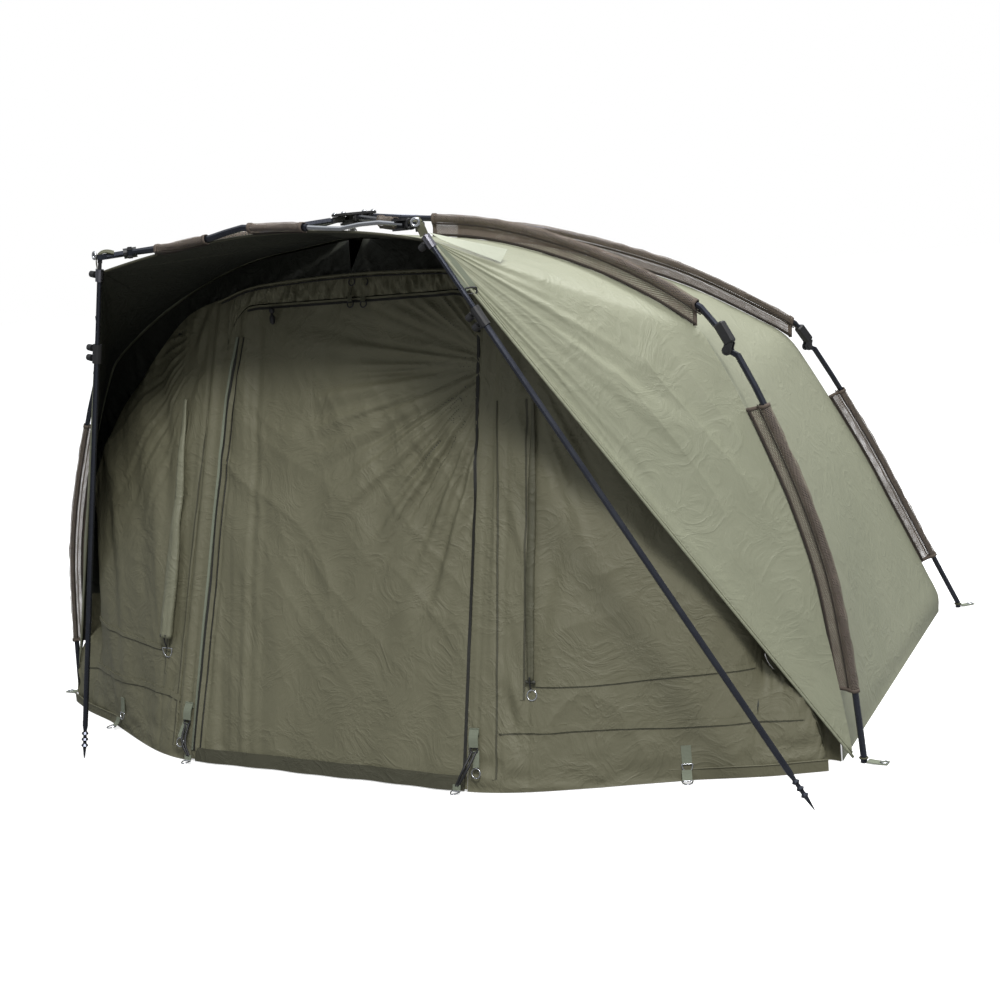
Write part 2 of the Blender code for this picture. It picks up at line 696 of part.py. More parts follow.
left, right = ribs["seat", "left"], ribs["seat", "right"]
knots = [left]
for share, rise in zip(BAR_X_SHARES, BAR_RISE_SHARES):
    knots.append(Vector((right.x * share, left.y, left.z + BAR_RISE * rise)))
knots.append(right)
line = along(knots, 61)
cut_at = int(np.argmin(np.abs(line[:, 0] - CORNER_X * BAR_SPLIT_SHARE)))
neck_end = left + (Vector(line[3]) - left).normalized() * (LUG_R * 2)
bar_path = [neck_end - (neck_end - left).normalized() * JOIN]
bar_path += [Vector(p) for p in line[3:cut_at:4]] + [Vector(line[cut_at])]
combine(
    "brow_bar", sweep(bar_path, BAR_D / 2), TUBE, lug(left, UP, neck_end - left), [eye_hole(left, UP)], left
)
step = (Vector(line[cut_at + 1]) - Vector(line[cut_at])).normalized() * FIT
rod_path = [Vector(line[cut_at]) + step] + [Vector(p) for p in line[cut_at + 3 : 54 : 4]]
thick = [ROD_D / 2] * len(rod_path)
rod_path += [Vector(line[56]), Vector(line[57]), Vector(line[60]) + Vector((COUPLER_L * 0.3, 0, 0))]
thick += [ROD_D / 2, ROD_D / 2, ROD_D / 2]
add("brow_rod", sweep(rod_path, thick), CHROME, left)


def roof_edge(share):
    """A point of the roof's front edge, for a share from -1 at the left corner to 1 at the right."""
    y = FABRIC_CORNER_Y + (EDGE_MID_Y - FABRIC_CORNER_Y) * (1 - share**2)
    return at(FABRIC_CORNER_X * share, y, FABRIC_CORNER_Z + EDGE_RISE * (1 - share**2))


for name, low, high in BROW_SLEEVE_SHARES:
    picks = [k for k in range(3, cut_at, 4) if low * CORNER_X <= line[k, 0] <= high * CORNER_X]
    path = [Vector(line[k]) for k in picks]
    downs, depth = [], []
    for point in path:
        edge = roof_edge(point.x / FABRIC_CORNER_X)
        downs.append(edge - point)
        depth.append((edge - point).length - SEAM)
    sleeve(f"brow_sleeve_{name}", path, downs, depth, BAR_D, left)

# Canopy panels
edges = {}
for label, hand in SIDES:
    for kind in ("side", "rear"):
        full, split, _ = lines[kind, label]
        normals = lines[kind, label, "normals"]
        rib = ribs[kind, label]
        seam = [rib.hub + rib.out * APEX_R - UP * HANG]
        seam += [Vector(full[k]) + normals[k] * HANG for k in range(4, 121, 4)]
        seam = [p for p in seam if p.z > 0]
        last = seam[-1].copy()
        last.z = 0
        edges[kind, label] = seam + [last]


def seam_line(kind, label, steps):
    return along(edges[kind, label], steps)


corner_of = {label: at(hand * FABRIC_CORNER_X, FABRIC_CORNER_Y, FABRIC_CORNER_Z) for label, hand in SIDES}
panels = {}
FAN_STEPS = 25
grid = []
apex = hub - UP * HANG
back = SEAM / FABRIC_CORNER_X * 1.6
for share in np.linspace(-1 + back, 1 - back, 17):
    edge = roof_edge(share)
    grid.append([apex + (edge - apex) * u for u in np.linspace(PEAK_START_SHARE, 1, 7)])
panels["roof_peak"] = np.array(grid)
for label, hand in SIDES:
    side, rear = seam_line("side", label, 21), seam_line("rear", label, 21)
    corner = np.array(corner_of[label])
    side_fan = seam_line("side", label, np.linspace(FAN_START_SHARE, 1, FAN_STEPS))
    side_fan[0] = apex + (corner_of[label] - apex) * FAN_APEX_SHARE + ribs["side", label].out * (SEAM * 4)
    grid = []
    for k, u in enumerate(np.linspace(FAN_TIP_SHARE, 1, 7)):
        share = np.minimum(u, 1 - SEAM / np.linalg.norm(side_fan - corner, axis=1, keepdims=True))
        grid.append(corner + (side_fan - corner) * share)
    grid = np.stack(grid, axis=1)
    t = np.linspace(0, 1, FAN_STEPS)[:, None]
    u = np.linspace(FAN_TIP_SHARE, 1, 7)[None, :]
    wave = RIPPLE * np.sin(np.pi * u) * np.sin(2 * np.pi * 5 * t) * np.sin(np.pi * t) ** 0.5
    wave = wave + BELLY * 0.5 * np.sin(np.pi * u) * np.sin(np.pi * t)
    grid = grid + inward_normals(grid, INSIDE) * wave[..., None]
    panels[f"wing_{label}"] = grid
    panels[f"side_panel_{label}"] = between(side, rear, 8, BELLY)
panels["rear_panel"] = between(seam_line("rear", "left", 21), seam_line("rear", "right", 21), 10, BELLY)


def door_y(z):
    return DOOR_Y + (DOOR_TOP_Y - DOOR_Y) * z / DOOR_TOP_Z


def door_half(z):
    return DOOR_HALF + (DOOR_TOP_HALF - DOOR_HALF) * z / DOOR_TOP_Z


def door_top(x):
    beyond = max(0.0, abs(x) - DOOR_TOP_HALF + DOOR_CORNER_R) / DOOR_CORNER_R
    return DOOR_TOP_Z - DOOR_CORNER_R * beyond**2.2


grid = []
for share in np.linspace(-1, 1, 13):
    top = door_top(share * DOOR_TOP_HALF) - ZIP_GAP * 1.6
    column = []
    for z in np.linspace(DOOR_LIFT, top, 11):
        crease = RIPPLE * math.sin(math.pi * (share + 1) * 2.5) * math.sin(math.pi * z / top)
        column.append(at(share * (door_half(z) - ZIP_GAP), door_y(z) + crease * 0.5, z))
    grid.append(column)
panels["door"] = np.array(grid)

arch = [(ARCH_FOOT_X * sx, HUB_HEIGHT * sz) for sx, sz in zip(ARCH_X_SHARES, ARCH_Z_SHARES)]
door_knee = DOOR_TOP_Z - DOOR_CORNER_R
uppers, lowers = [], []
for label, hand in SIDES:
    outer = [at(hand * x, ARCH_Y, z) for x, z in arch if x > DOOR_TOP_HALF * 0.98]
    foot = at(hand * ARCH_FOOT_X, BASE_FOOT_Y, 0)
    outer[-1] = foot
    top_line = along(outer, 15)
    shift = np.array(at(hand * door_half(door_knee), door_y(door_knee), door_knee)) - top_line[0]
    fade = (np.linspace(1, 0, 15) ** 4)[:, None]
    top_line = top_line + shift * fade
    base_in = at(hand * DOOR_HALF, DOOR_Y, 0)
    base = np.array([base_in.lerp(foot, v) for v in np.linspace(0, 1, 15)])
    grid = []
    for w in np.linspace(0, 1, 12):
        row = base + (top_line - base) * w
        column_y = np.array([at(0, door_y(z), 0).y for z in row[:, 2]])
        blend = (np.linspace(1, 0, 15) ** 3)
        row[:, 1] = row[:, 1] * (1 - blend) + column_y * blend
        grid.append(row)
    grid = np.stack(grid, axis=0)
    inner = grid[:, 0].copy()
    gap = np.linalg.norm(grid[:, 1] - inner, axis=1, keepdims=True)
    grid[:, 0] = inner + (grid[:, 1] - inner) * np.minimum(ZIP_GAP / gap, 0.4)
    high = grid[-1].copy()
    gap = np.linalg.norm(grid[-2] - high, axis=1, keepdims=True)
    grid[-1] = high + (grid[-2] - high) * np.minimum(ZIP_GAP * 0.7 / np.maximum(gap, SEAM), 0.4)
    grid = grid[:, :-1]
    w = np.linspace(0, 1, 12)[:, None]
    v = np.linspace(0, 1, 14)[None, :]
    wave = RIPPLE * np.sin(2 * np.pi * 3 * v) * np.sin(np.pi * v) * np.sin(np.pi * w) ** 0.5
    grid = grid + inward_normals(grid, INSIDE) * wave[..., None]
    panels[f"front_panel_{label}"] = grid
    lowers.append(top_line)

# The gathered band between the front panels, the door and the canopy under the side ribs
xs = np.linspace(-DOOR_TOP_HALF, DOOR_TOP_HALF, 17)[1:-1]
middle = [np.array(at(x, door_y(door_top(x)), door_top(x))) for x in xs]
low = np.array(list(lowers[1][::-1][1:]) + middle + list(lowers[0][:-1]))
low = along(low, 67)
side_left = seam_line("side", "left", 40)[::-1]
side_right = seam_line("side", "right", 40)
high = along(np.vstack([side_left, side_right]), 67)
q = np.linspace(-1, 1, 67)
grid = []
for k in range(67):
    a, b = low[k], high[k]
    way = (b - a) / np.linalg.norm(b - a)
    start, end = a + way * (ZIP_GAP * 1.7), b - way * BAND_GAP
    pleat = RUCHE * (1 if k % 2 else -1) * np.array([0, 1, 0]) * min(1, (1 - abs(q[k])) * 2.5)
    over = end - start
    grid.append([start, start + over * 0.35 + pleat * 0.7, start + over * 0.7 + pleat * 0.25, end])
panels["arch_band"] = np.array(grid)

for name, grid in panels.items():
    front = name in ("door", "arch_band") or name.startswith("front_panel")
    origin = at(0, DOOR_Y, 0) if name == "door" else None
    cloth(name, grid, inward_normals(grid, INSIDE) * CLOTH, FRONT if front else CANOPY, origin)
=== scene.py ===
"""A bivvy tent on a pale floor: pivot hub, ribs and legs, storm poles and brow bar, and the
cloth that they carry. Metres, +Z up, front towards -Y."""

import json
import math

import bpy
import numpy as np
from mathutils import Matrix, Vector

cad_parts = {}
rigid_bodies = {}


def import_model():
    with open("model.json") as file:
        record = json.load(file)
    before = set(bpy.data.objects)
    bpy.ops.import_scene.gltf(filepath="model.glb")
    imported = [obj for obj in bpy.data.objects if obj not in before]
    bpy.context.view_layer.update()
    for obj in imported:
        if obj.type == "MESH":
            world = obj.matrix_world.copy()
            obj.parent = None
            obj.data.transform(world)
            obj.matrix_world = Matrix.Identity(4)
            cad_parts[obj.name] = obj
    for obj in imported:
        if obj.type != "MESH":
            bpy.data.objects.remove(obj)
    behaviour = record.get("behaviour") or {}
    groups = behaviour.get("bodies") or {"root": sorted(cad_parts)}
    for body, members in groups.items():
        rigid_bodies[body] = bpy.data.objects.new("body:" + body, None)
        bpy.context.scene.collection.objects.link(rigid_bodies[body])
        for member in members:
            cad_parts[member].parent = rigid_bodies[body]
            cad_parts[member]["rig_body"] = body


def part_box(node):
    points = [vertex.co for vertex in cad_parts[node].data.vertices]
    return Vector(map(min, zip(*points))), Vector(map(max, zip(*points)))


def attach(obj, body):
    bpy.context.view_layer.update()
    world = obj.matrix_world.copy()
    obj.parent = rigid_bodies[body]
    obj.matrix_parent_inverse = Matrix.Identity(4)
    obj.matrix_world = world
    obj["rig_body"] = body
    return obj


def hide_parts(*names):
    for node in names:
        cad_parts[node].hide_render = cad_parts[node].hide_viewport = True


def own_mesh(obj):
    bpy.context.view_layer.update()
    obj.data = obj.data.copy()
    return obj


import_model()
frame_parts = [obj for obj in bpy.data.objects if obj.type == "MESH"]
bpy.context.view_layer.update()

MIDDLE = 0.5215  # footprint middle, behind the plane through the side feet
UP = np.array([0.0, 0.0, 1.0])
DOWN = -UP
FORWARD = np.array([0.0, -1.0, 0.0])
SIDES = (("right", 1), ("left", -1))


def P(x, y, z):
    """A point with y counted from the plane through the side feet."""
    return np.array([x, y - MIDDLE, z], float)


# Camera
EYE = P(2.43944, -3.52641, 1.32048)
RIGHT = np.array([0.86408177, 0.49488632, -0.09192507])
TOP = np.array([-0.00252514, 0.18688562, 0.98237844])
AHEAD = np.array([-0.50334512, 0.84862318, -0.16273411])
camera = bpy.data.objects.new("camera", bpy.data.cameras.new("camera"))
camera.data.lens, camera.data.sensor_width = 56.19, 36
turn = np.eye(4)
turn[:3, 0], turn[:3, 1], turn[:3, 2], turn[:3, 3] = RIGHT, TOP, -AHEAD, EYE
camera.matrix_world = Matrix(turn.tolist())
bpy.context.scene.collection.objects.link(camera)
bpy.context.scene.camera = camera
bpy.context.scene.view_settings.view_transform = "Standard"


# Shapes


def unit(v):
    """The vectors v, each divided by its own length."""
    v = np.asarray(v, float)
    return v / np.maximum(np.linalg.norm(v, axis=-1, keepdims=True), 1e-12)


def spline(points, shares):
    """Points at arc-length shares of the Catmull-Rom curve through the given points."""
    p = np.asarray(points, float)
    p = np.vstack([2 * p[0] - p[1], p, 2 * p[-1] - p[-2]])
    t = np.linspace(0, 1, 12, endpoint=False)[None, :, None]
    a, b, c, d = (p[i : len(p) - 3 + i, None] for i in range(4))
    fine = 0.5 * (2 * b + (c - a) * t + (2 * a - 5 * b + 4 * c - d) * t**2 + (3 * b - a - 3 * c + d) * t**3)
    fine = np.vstack([fine.reshape(-1, 3), p[-2:-1]])
    run = np.r_[0, np.cumsum(np.linalg.norm(np.diff(fine, axis=0), axis=1))]
    shares = np.linspace(0, 1, shares) if np.isscalar(shares) else np.asarray(shares)
    return np.stack([np.interp(shares * run[-1], run, fine[:, k]) for k in range(3)], axis=-1)


def ways(path):
    """Unit tangents, and side directions carried along the path with as little turn as possible."""
    path = np.asarray(path, float)
    t = unit(np.gradient(path, axis=0))
    side = np.cross(t[0], UP) if abs(t[0, 2]) < 0.9 else np.cross(t[0], [0, 1, 0])
    sides = []
    for way in t:
        side = unit(side - way * (side @ way))
        sides.append(side)
    sides = np.array(sides)
    return t, sides, np.cross(t, sides)


def tube(path, radius, sides=20, square=0.0):
    """Rings of points about a path, each a circle of the given radius or, with square above 0, a
    rounded box outline."""
    path = np.asarray(path, float)
    radius = np.broadcast_to(np.asarray(radius, float), len(path))
    _, s, n = ways(path)
    a = 2 * np.pi * np.arange(sides) / sides
    x, y = np.cos(a), np.sin(a)
    if square:
        reach = (np.abs(x) ** (2 + 6 * square) + np.abs(y) ** (2 + 6 * square)) ** (1 / (2 + 6 * square))
        x, y = x / reach, y / reach
    ring = s[:, None] * x[None, :, None] + n[:, None] * y[None, :, None]
    return path[:, None] + ring * radius[:, None, None]


def ribbon(path, face, width, thick, cols=5):
    """A strap: a thin rounded outline, width along the direction across path and face, swept along
    the path; face is the direction that its flat side looks."""
    path = np.asarray(path, float)
    t = unit(np.gradient(path, axis=0))
    face = np.broadcast_to(np.asarray(face, float), path.shape)
    face = unit(face - t * (face * t).sum(1, keepdims=True))
    side = np.cross(t, face)
    w = np.linspace(-0.5, 0.5, cols)
    face_side = np.stack([w * width, np.full(cols, thick / 2)], 1)
    back_side = np.stack([w[::-1] * width, np.full(cols, -thick / 2)], 1)
    outline = np.concatenate([face_side, back_side])
    ring = side[:, None] * outline[None, :, :1] + face[:, None] * outline[None, :, 1:]
    return path[:, None] + ring


def torus(centre, axis, radius, wire, along=32, around=12):
    """A ring of wire: a circle of the given radius about centre, square to axis."""
    axis = unit(axis)
    one = unit(np.cross(axis, UP if abs(axis[2]) < 0.9 else [1, 0, 0]))
    two = np.cross(axis, one)
    a = np.linspace(0, 2 * np.pi, along, endpoint=False)
    out = one * np.cos(a)[:, None] + two * np.sin(a)[:, None]
    b = np.linspace(0, 2 * np.pi, around, endpoint=False)
    far, high = radius + wire * np.cos(b), wire * np.sin(b)
    return np.asarray(centre) + (out[:, None] * far[None, :, None] + axis * high[None, :, None])


def noise(u, v, seed=0):
    """Smooth noise from -1 to 1: random heights on a lattice, blended with cubic weights."""
    table = np.random.default_rng(seed).uniform(-1, 1, (61, 61))
    i, j = np.floor(u).astype(int), np.floor(v).astype(int)
    s, t = u - i, v - j
    s, t = s * s * (3 - 2 * s), t * t * (3 - 2 * t)
    low = table[i % 61, j % 61] * (1 - s) + table[(i + 1) % 61, j % 61] * s
    high = table[i % 61, (j + 1) % 61] * (1 - s) + table[(i + 1) % 61, (j + 1) % 61] * s
    return low * (1 - t) + high * t


def creases(u, v, seed, sharp=1.6):
    """Crumpled cloth from 0 to 1: thin crests where two layers of warped noise change sign."""
    warp = noise(u * 0.6, v * 0.6, seed + 7) * 1.4
    one = 1 - np.abs(noise(u + warp, v * 0.8 - warp, seed)) ** (1 / sharp)
    two = 1 - np.abs(noise(u * 2.1 - warp, v * 1.9 + warp, seed + 1)) ** (1 / sharp)
    return one * 0.65 + two * 0.35


def least(*shares):
    """The smallest of several shares at each point, kept between 0 and 1."""
    return np.clip(np.minimum.reduce(np.broadcast_arrays(*shares)), 0, 1)


def grid_uv(grid):
    """Arc lengths in metres along both directions of a grid, as its flat coordinates."""
    across = np.r_[0, np.cumsum(np.linalg.norm(np.diff(grid, axis=1), axis=2).mean(0))]
    along = np.r_[0, np.cumsum(np.linalg.norm(np.diff(grid, axis=0), axis=2).mean(1))]
    return np.stack(np.broadcast_arrays(across[None, :], along[:, None]), axis=-1)


def normals(grid):
    """Unit normals of an open grid of points."""
    return unit(np.cross(np.gradient(grid, axis=1), np.gradient(grid, axis=0)))


def piece(name, grid, finish, body="tent", wrap=False, loop=False, sharp=None):
    """One mesh from a grid of points. A wrapped grid joins its last column to its first and is closed
    at both ends by faces that join mirrored columns; with loop, its last row joins its first row
    instead."""
    rows, cols = grid.shape[:2]
    index = np.arange(rows * cols).reshape(rows, cols)
    uv = grid_uv(grid)
    if wrap:
        index = np.hstack([index, index[:, :1]])
        uv = np.concatenate([uv, uv[:, -1:] + (uv[:, 1:2] - uv[:, :1])], axis=1)
    if loop:
        index = np.vstack([index, index[:1]])
        uv = np.concatenate([uv, uv[-1:] + (uv[1:2] - uv[:1])], axis=0)
    quads = np.stack([index[:-1, :-1], index[:-1, 1:], index[1:, 1:], index[1:, :-1]], axis=-1)
    corner = np.stack([uv[:-1, :-1], uv[:-1, 1:], uv[1:, 1:], uv[1:, :-1]], axis=2)
    faces, uvs = [quads.reshape(-1, 4)], [corner.reshape(-1, 4, 2)]
    if wrap and not loop:
        c = np.arange(cols // 2 - 1)
        for r, order in ((0, (1, 0, 3, 2)), (rows - 1, (0, 1, 2, 3))):
            picks = np.stack([c, c + 1, cols - 2 - c, cols - 1 - c], axis=1)[:, order]
            faces.append(index[r][picks])
            uvs.append(uv[r][picks])
    points, faces, uvs = grid.reshape(-1, 3), np.concatenate(faces), np.concatenate(uvs)
    mesh = bpy.data.meshes.new(name)
    mesh.vertices.add(len(points))
    mesh.vertices.foreach_set("co", points.ravel())
    mesh.loops.add(faces.size)
    mesh.loops.foreach_set("vertex_index", faces.ravel())
    mesh.polygons.add(len(faces))
    mesh.polygons.foreach_set("loop_start", np.arange(0, faces.size, 4))
    mesh.uv_layers.new(name="UVMap").data.foreach_set("uv", uvs.ravel())
    mesh.update()
    mesh.validate()
    mesh.shade_smooth()
    if sharp:
        mesh.set_sharp_from_angle(angle=math.radians(sharp))
    mesh.materials.append(finish)
    obj = bpy.data.objects.new(name, mesh)
    bpy.context.scene.collection.objects.link(obj)
    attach(obj, body)
    return obj


# Finishes


def tone(red, green, blue):
    """A colour as seen on screen, 0 to 255, turned into Blender's linear values."""
    c = np.array([red, green, blue]) / 255
    return (*np.where(c <= 0.04045, c / 12.92, ((c + 0.055) / 1.055) ** 2.4), 1.0)


class Net:
    """Adds and links the nodes of one tree."""

    def __init__(self, tree):
        """Keeps the tree that the nodes go in."""
        self.tree = tree

    def add(self, kind, inputs=None, **settings):
        """A node of this kind; an input is a value, or another node's socket to link."""
        node = self.tree.nodes.new(kind)
        for key, value in settings.items():
            setattr(node, key, value)
        for key, value in (inputs or {}).items():
            if isinstance(value, bpy.types.NodeSocket):
                self.tree.links.new(value, node.inputs[key])
            else:
                node.inputs[key].default_value = value
        return node

    def math(self, operation, a, b=0.0, c=0.0, clamp=False):
        """The result of one math operation."""
        return self.add(
            "ShaderNodeMath", {0: a, 1: b, 2: c}, operation=operation, use_clamp=clamp
        ).outputs[0]

    def times(self, a, b):
        """The product of a and b."""
        return self.math("MULTIPLY", a, b)

    def plus(self, a, b):
        """The sum of a and b."""
        return self.math("ADD", a, b)

    def mix(self, share, a, b, blend="MIX"):
        """Colour a with this share of colour b."""
        node = self.add("ShaderNodeMix", data_type="RGBA", blend_type=blend)
        for socket, value in zip((node.inputs[0], node.inputs[6], node.inputs[7]), (share, a, b)):
            if isinstance(value, bpy.types.NodeSocket):
                self.tree.links.new(value, socket)
            else:
                socket.default_value = value
        return node.outputs[2]

    def noise(self, vector, scale, detail=3.0, rough=0.5, twist=0.0):
        """Noise from 0 to 1 at the given scale."""
        return self.add(
            "ShaderNodeTexNoise",
            {"Vector": vector, "Scale": scale, "Detail": detail, "Roughness": rough, "Distortion": twist},
        ).outputs[0]

    def ramp(self, value, low, high, out_low=0.0, out_high=1.0):
        """Value taken smoothly from the range low to high into another range."""
        return self.add(
            "ShaderNodeMapRange",
            {0: value, 1: low, 2: high, 3: out_low, 4: out_high},
            interpolation_type="SMOOTHSTEP",
        ).outputs[0]


def group(name, inputs, outputs, fill):
    """A shader node group. An input's default is a colour or a number; fill wires its inside."""
    tree = bpy.data.node_groups.new(name, "ShaderNodeTree")
    for label, default in inputs.items():
        kind = "NodeSocketColor" if isinstance(default, tuple) else "NodeSocketFloat"
        tree.interface.new_socket(label, in_out="INPUT", socket_type=kind).default_value = default
    for label in outputs:
        kind = "NodeSocketColor" if label == "Colour" else "NodeSocketFloat"
        tree.interface.new_socket(label, in_out="OUTPUT", socket_type=kind)
    net = Net(tree)
    source, sink = net.add("NodeGroupInput"), net.add("NodeGroupOutput")
    for label, value in fill(net, source.outputs).items():
        tree.links.new(value, sink.inputs[label])
    return tree


def cloth_inside(net, given):
    """Woven, coated cloth: threads across and along the UV, crinkles and patchy tone over the object, and a
    painted highlight where the crinkles rise.
    """
    place = net.add("ShaderNodeTexCoord").outputs
    uv = net.add("ShaderNodeSeparateXYZ", {0: place["UV"]}).outputs
    across = net.math("ABSOLUTE", net.math("SINE", net.times(uv[0], given["Threads"])))
    along = net.math("ABSOLUTE", net.math("SINE", net.times(uv[1], given["Threads"])))
    weave = net.math("MAXIMUM", across, along)
    fine = net.noise(place["Object"], 34.0, 5.0, 0.62, 0.9)
    middle = net.noise(place["Object"], 9.0, 4.0, 0.55, 1.6)
    ridge = net.math("SUBTRACT", 1.0, net.math("ABSOLUTE", net.math("MULTIPLY_ADD", middle, 2.0, -1.0)))
    ridge = net.math("POWER", ridge, 5.0)
    folds = net.plus(net.times(fine, 0.35), net.times(ridge, 0.65))
    height = net.plus(net.times(folds, given["Crinkle"]), net.times(weave, given["Weave"]))
    patch = net.ramp(net.noise(place["Object"], 1.7, 3.0, 0.5, 0.4), 0.32, 0.68)
    colour = net.mix(net.times(patch, given["Variation"]), given["Colour"], given["Other"])
    # Painted highlight: lighter colour where the fine crinkles rise.
    colour = net.mix(net.times(net.ramp(fine, 0.55, 0.8), 0.10), colour, given["Crest"])
    rough = net.math("MULTIPLY_ADD", fine, 0.16, given["Roughness"])
    return {"Colour": colour, "Height": height, "Roughness": rough}


CLOTH_INPUTS = {
    "Colour": (0.2, 0.2, 0.15, 1),
    "Other": (0.18, 0.18, 0.13, 1),
    "Crest": (0.3, 0.3, 0.25, 1),
    "Variation": 0.5,
    "Threads": 3600.0,
    "Weave": 0.02,
    "Crinkle": 1.0,
    "Roughness": 0.5,
}
CLOTH = group("coated_cloth", CLOTH_INPUTS, ("Colour", "Height", "Roughness"), cloth_inside)


def net_inside(net, given):
    """Open mesh: staggered round holes on the UV, with thread tone between them."""
    place = net.add("ShaderNodeTexCoord").outputs
    uv = net.add("ShaderNodeSeparateXYZ", {0: place["UV"]}).outputs
    x = net.times(uv[0], given["Holes"])
    y = net.times(uv[1], net.times(given["Holes"], 1.1547))
    shift = net.times(net.math("MODULO", net.math("FLOOR", y), 2.0), 0.5)
    cx = net.math("SUBTRACT", net.math("FRACT", net.plus(net.plus(x, shift), 4000.0)), 0.5)
    cy = net.math("SUBTRACT", net.math("FRACT", net.plus(y, 4000.0)), 0.5)
    far = net.math("SQRT", net.plus(net.times(cx, cx), net.times(cy, cy)))
    solid = net.ramp(far, net.math("SUBTRACT", given["Hole"], 0.05), net.plus(given["Hole"], 0.05))
    colour = net.mix(net.noise(place["Object"], 12.0, 3.0), given["Colour"], given["Other"])
    return {"Colour": colour, "Mask": solid, "Height": solid}


NETTING_INPUTS = {
    "Colour": (0.15, 0.13, 0.1, 1),
    "Other": (0.1, 0.09, 0.07, 1),
    "Holes": 260.0,
    "Hole": 0.3,
}
NETTING = group("open_mesh", NETTING_INPUTS, ("Colour", "Mask", "Height"), net_inside)


def tape_inside(net, given):
    """Woven tape: slanted picks across its width in rows along its length."""
    place = net.add("ShaderNodeTexCoord").outputs
    uv = net.add("ShaderNodeSeparateXYZ", {0: place["UV"]}).outputs
    slant = net.times(net.math("SINE", net.times(uv[0], given["Picks"])), 1.2)
    rows = net.math("SINE", net.plus(net.times(uv[1], given["Picks"]), slant))
    rows = net.math("MULTIPLY_ADD", rows, 0.5, 0.5)
    fuzz = net.noise(place["Object"], 420.0, 2.0)
    colour = net.mix(net.times(rows, 0.55), given["Other"], given["Colour"])
    colour = net.mix(net.times(fuzz, 0.3), colour, given["Other"])
    return {"Colour": colour, "Height": net.math("MULTIPLY_ADD", fuzz, 0.3, rows)}


TAPE_INPUTS = {"Colour": (0.3, 0.32, 0.25, 1), "Other": (0.2, 0.22, 0.17, 1), "Picks": 2600.0}
TAPE = group("woven_tape", TAPE_INPUTS, ("Colour", "Height"), tape_inside)


def wear_inside(net, given):
    """Handled metal or plastic: fine scratches, smudges and lighter scuffs."""
    place = net.add("ShaderNodeTexCoord").outputs["Object"]
    smudge = net.noise(place, 22.0, 4.0, 0.6)
    grain = net.noise(place, 900.0, 2.0, 0.5)
    long = net.add("ShaderNodeMapping", {"Vector": place, "Scale": (900.0, 900.0, 60.0)}).outputs[0]
    scratch = net.ramp(net.noise(long, 1.0, 2.0), 0.66, 0.74)
    scuff = net.times(net.ramp(net.noise(place, 75.0, 5.0, 0.7), 0.60, 0.74), given["Scuffs"])
    colour = net.mix(net.times(smudge, 0.25), given["Colour"], given["Worn"])
    worn = net.math("MAXIMUM", scuff, net.times(scratch, net.times(given["Scuffs"], 0.6)))
    colour = net.mix(worn, colour, given["Worn"])
    rough = net.plus(given["Roughness"], net.math("MULTIPLY_ADD", smudge, 0.22, -0.08))
    height = net.plus(net.times(grain, given["Grain"]), net.times(scratch, -0.3))
    return {"Colour": colour, "Roughness": rough, "Height": height}


WEAR_INPUTS = {
    "Colour": (0.03, 0.03, 0.04, 1),
    "Worn": (0.12, 0.12, 0.13, 1),
    "Scuffs": 0.4,
    "Roughness": 0.4,
    "Grain": 0.2,
}
WEAR = group("handled_surface", WEAR_INPUTS, ("Colour", "Roughness", "Height"), wear_inside)


def finish(name, kind, bump, distance, values, **sockets):
    """A material: one node group, with its own values, on a Principled shader."""
    made = bpy.data.materials.new(name)
    made.use_nodes = True
    net = Net(made.node_tree)
    shader = made.node_tree.nodes["Principled BSDF"]
    node = net.add("ShaderNodeGroup", node_tree=kind)
    for key, value in values.items():
        node.inputs[key].default_value = tone(*value) if isinstance(value, tuple) else value
    links = made.node_tree.links
    for output, socket in (("Colour", "Base Color"), ("Roughness", "Roughness"), ("Mask", "Alpha")):
        if output in node.outputs:
            links.new(node.outputs[output], shader.inputs[socket])
    relief = {"Strength": bump, "Distance": distance, "Height": node.outputs["Height"]}
    links.new(net.add("ShaderNodeBump", relief).outputs[0], shader.inputs["Normal"])
    for key, value in sockets.items():
        shader.inputs[key].default_value = value
    return made


def cloth_finish(name, colour, other, crest_highlight, crinkle, roughness, bump=0.6, distance=0.006):
    """Coated cloth. Tones here and below are red, green and blue from 0 to 255."""
    values = {"Colour": colour, "Other": other, "Crest": crest_highlight, "Crinkle": crinkle, "Roughness": roughness}
    return finish(name, CLOTH, bump, distance, values)


def tape_finish(name, colour, other, picks, bump, distance, roughness):
    """Woven tape, with its picks per unit of UV."""
    values = {"Colour": colour, "Other": other, "Picks": picks}
    return finish(name, TAPE, bump, distance, values, Roughness=roughness)


def wear_finish(name, colour, worn, scuffs, roughness, grain, bump, distance, metallic=0.0):
    """Metal or moulding that hands have worn."""
    values = {"Colour": colour, "Worn": worn, "Scuffs": scuffs, "Roughness": roughness, "Grain": grain}
    return finish(name, WEAR, bump, distance, values, Metallic=metallic)


canopy_cloth = cloth_finish(
    "canopy_cloth", (143, 145, 124), (135, 138, 117), (168, 170, 148), 0.55, 0.48, bump=0.55
)
# The front's cloth is darker than the canopy cloth: partly its own tone, partly painted shade for the
# front, which lies in shade.
front_cloth = cloth_finish("front_cloth", (108, 106, 85), (101, 99, 79), (128, 127, 104), 0.7, 0.55)
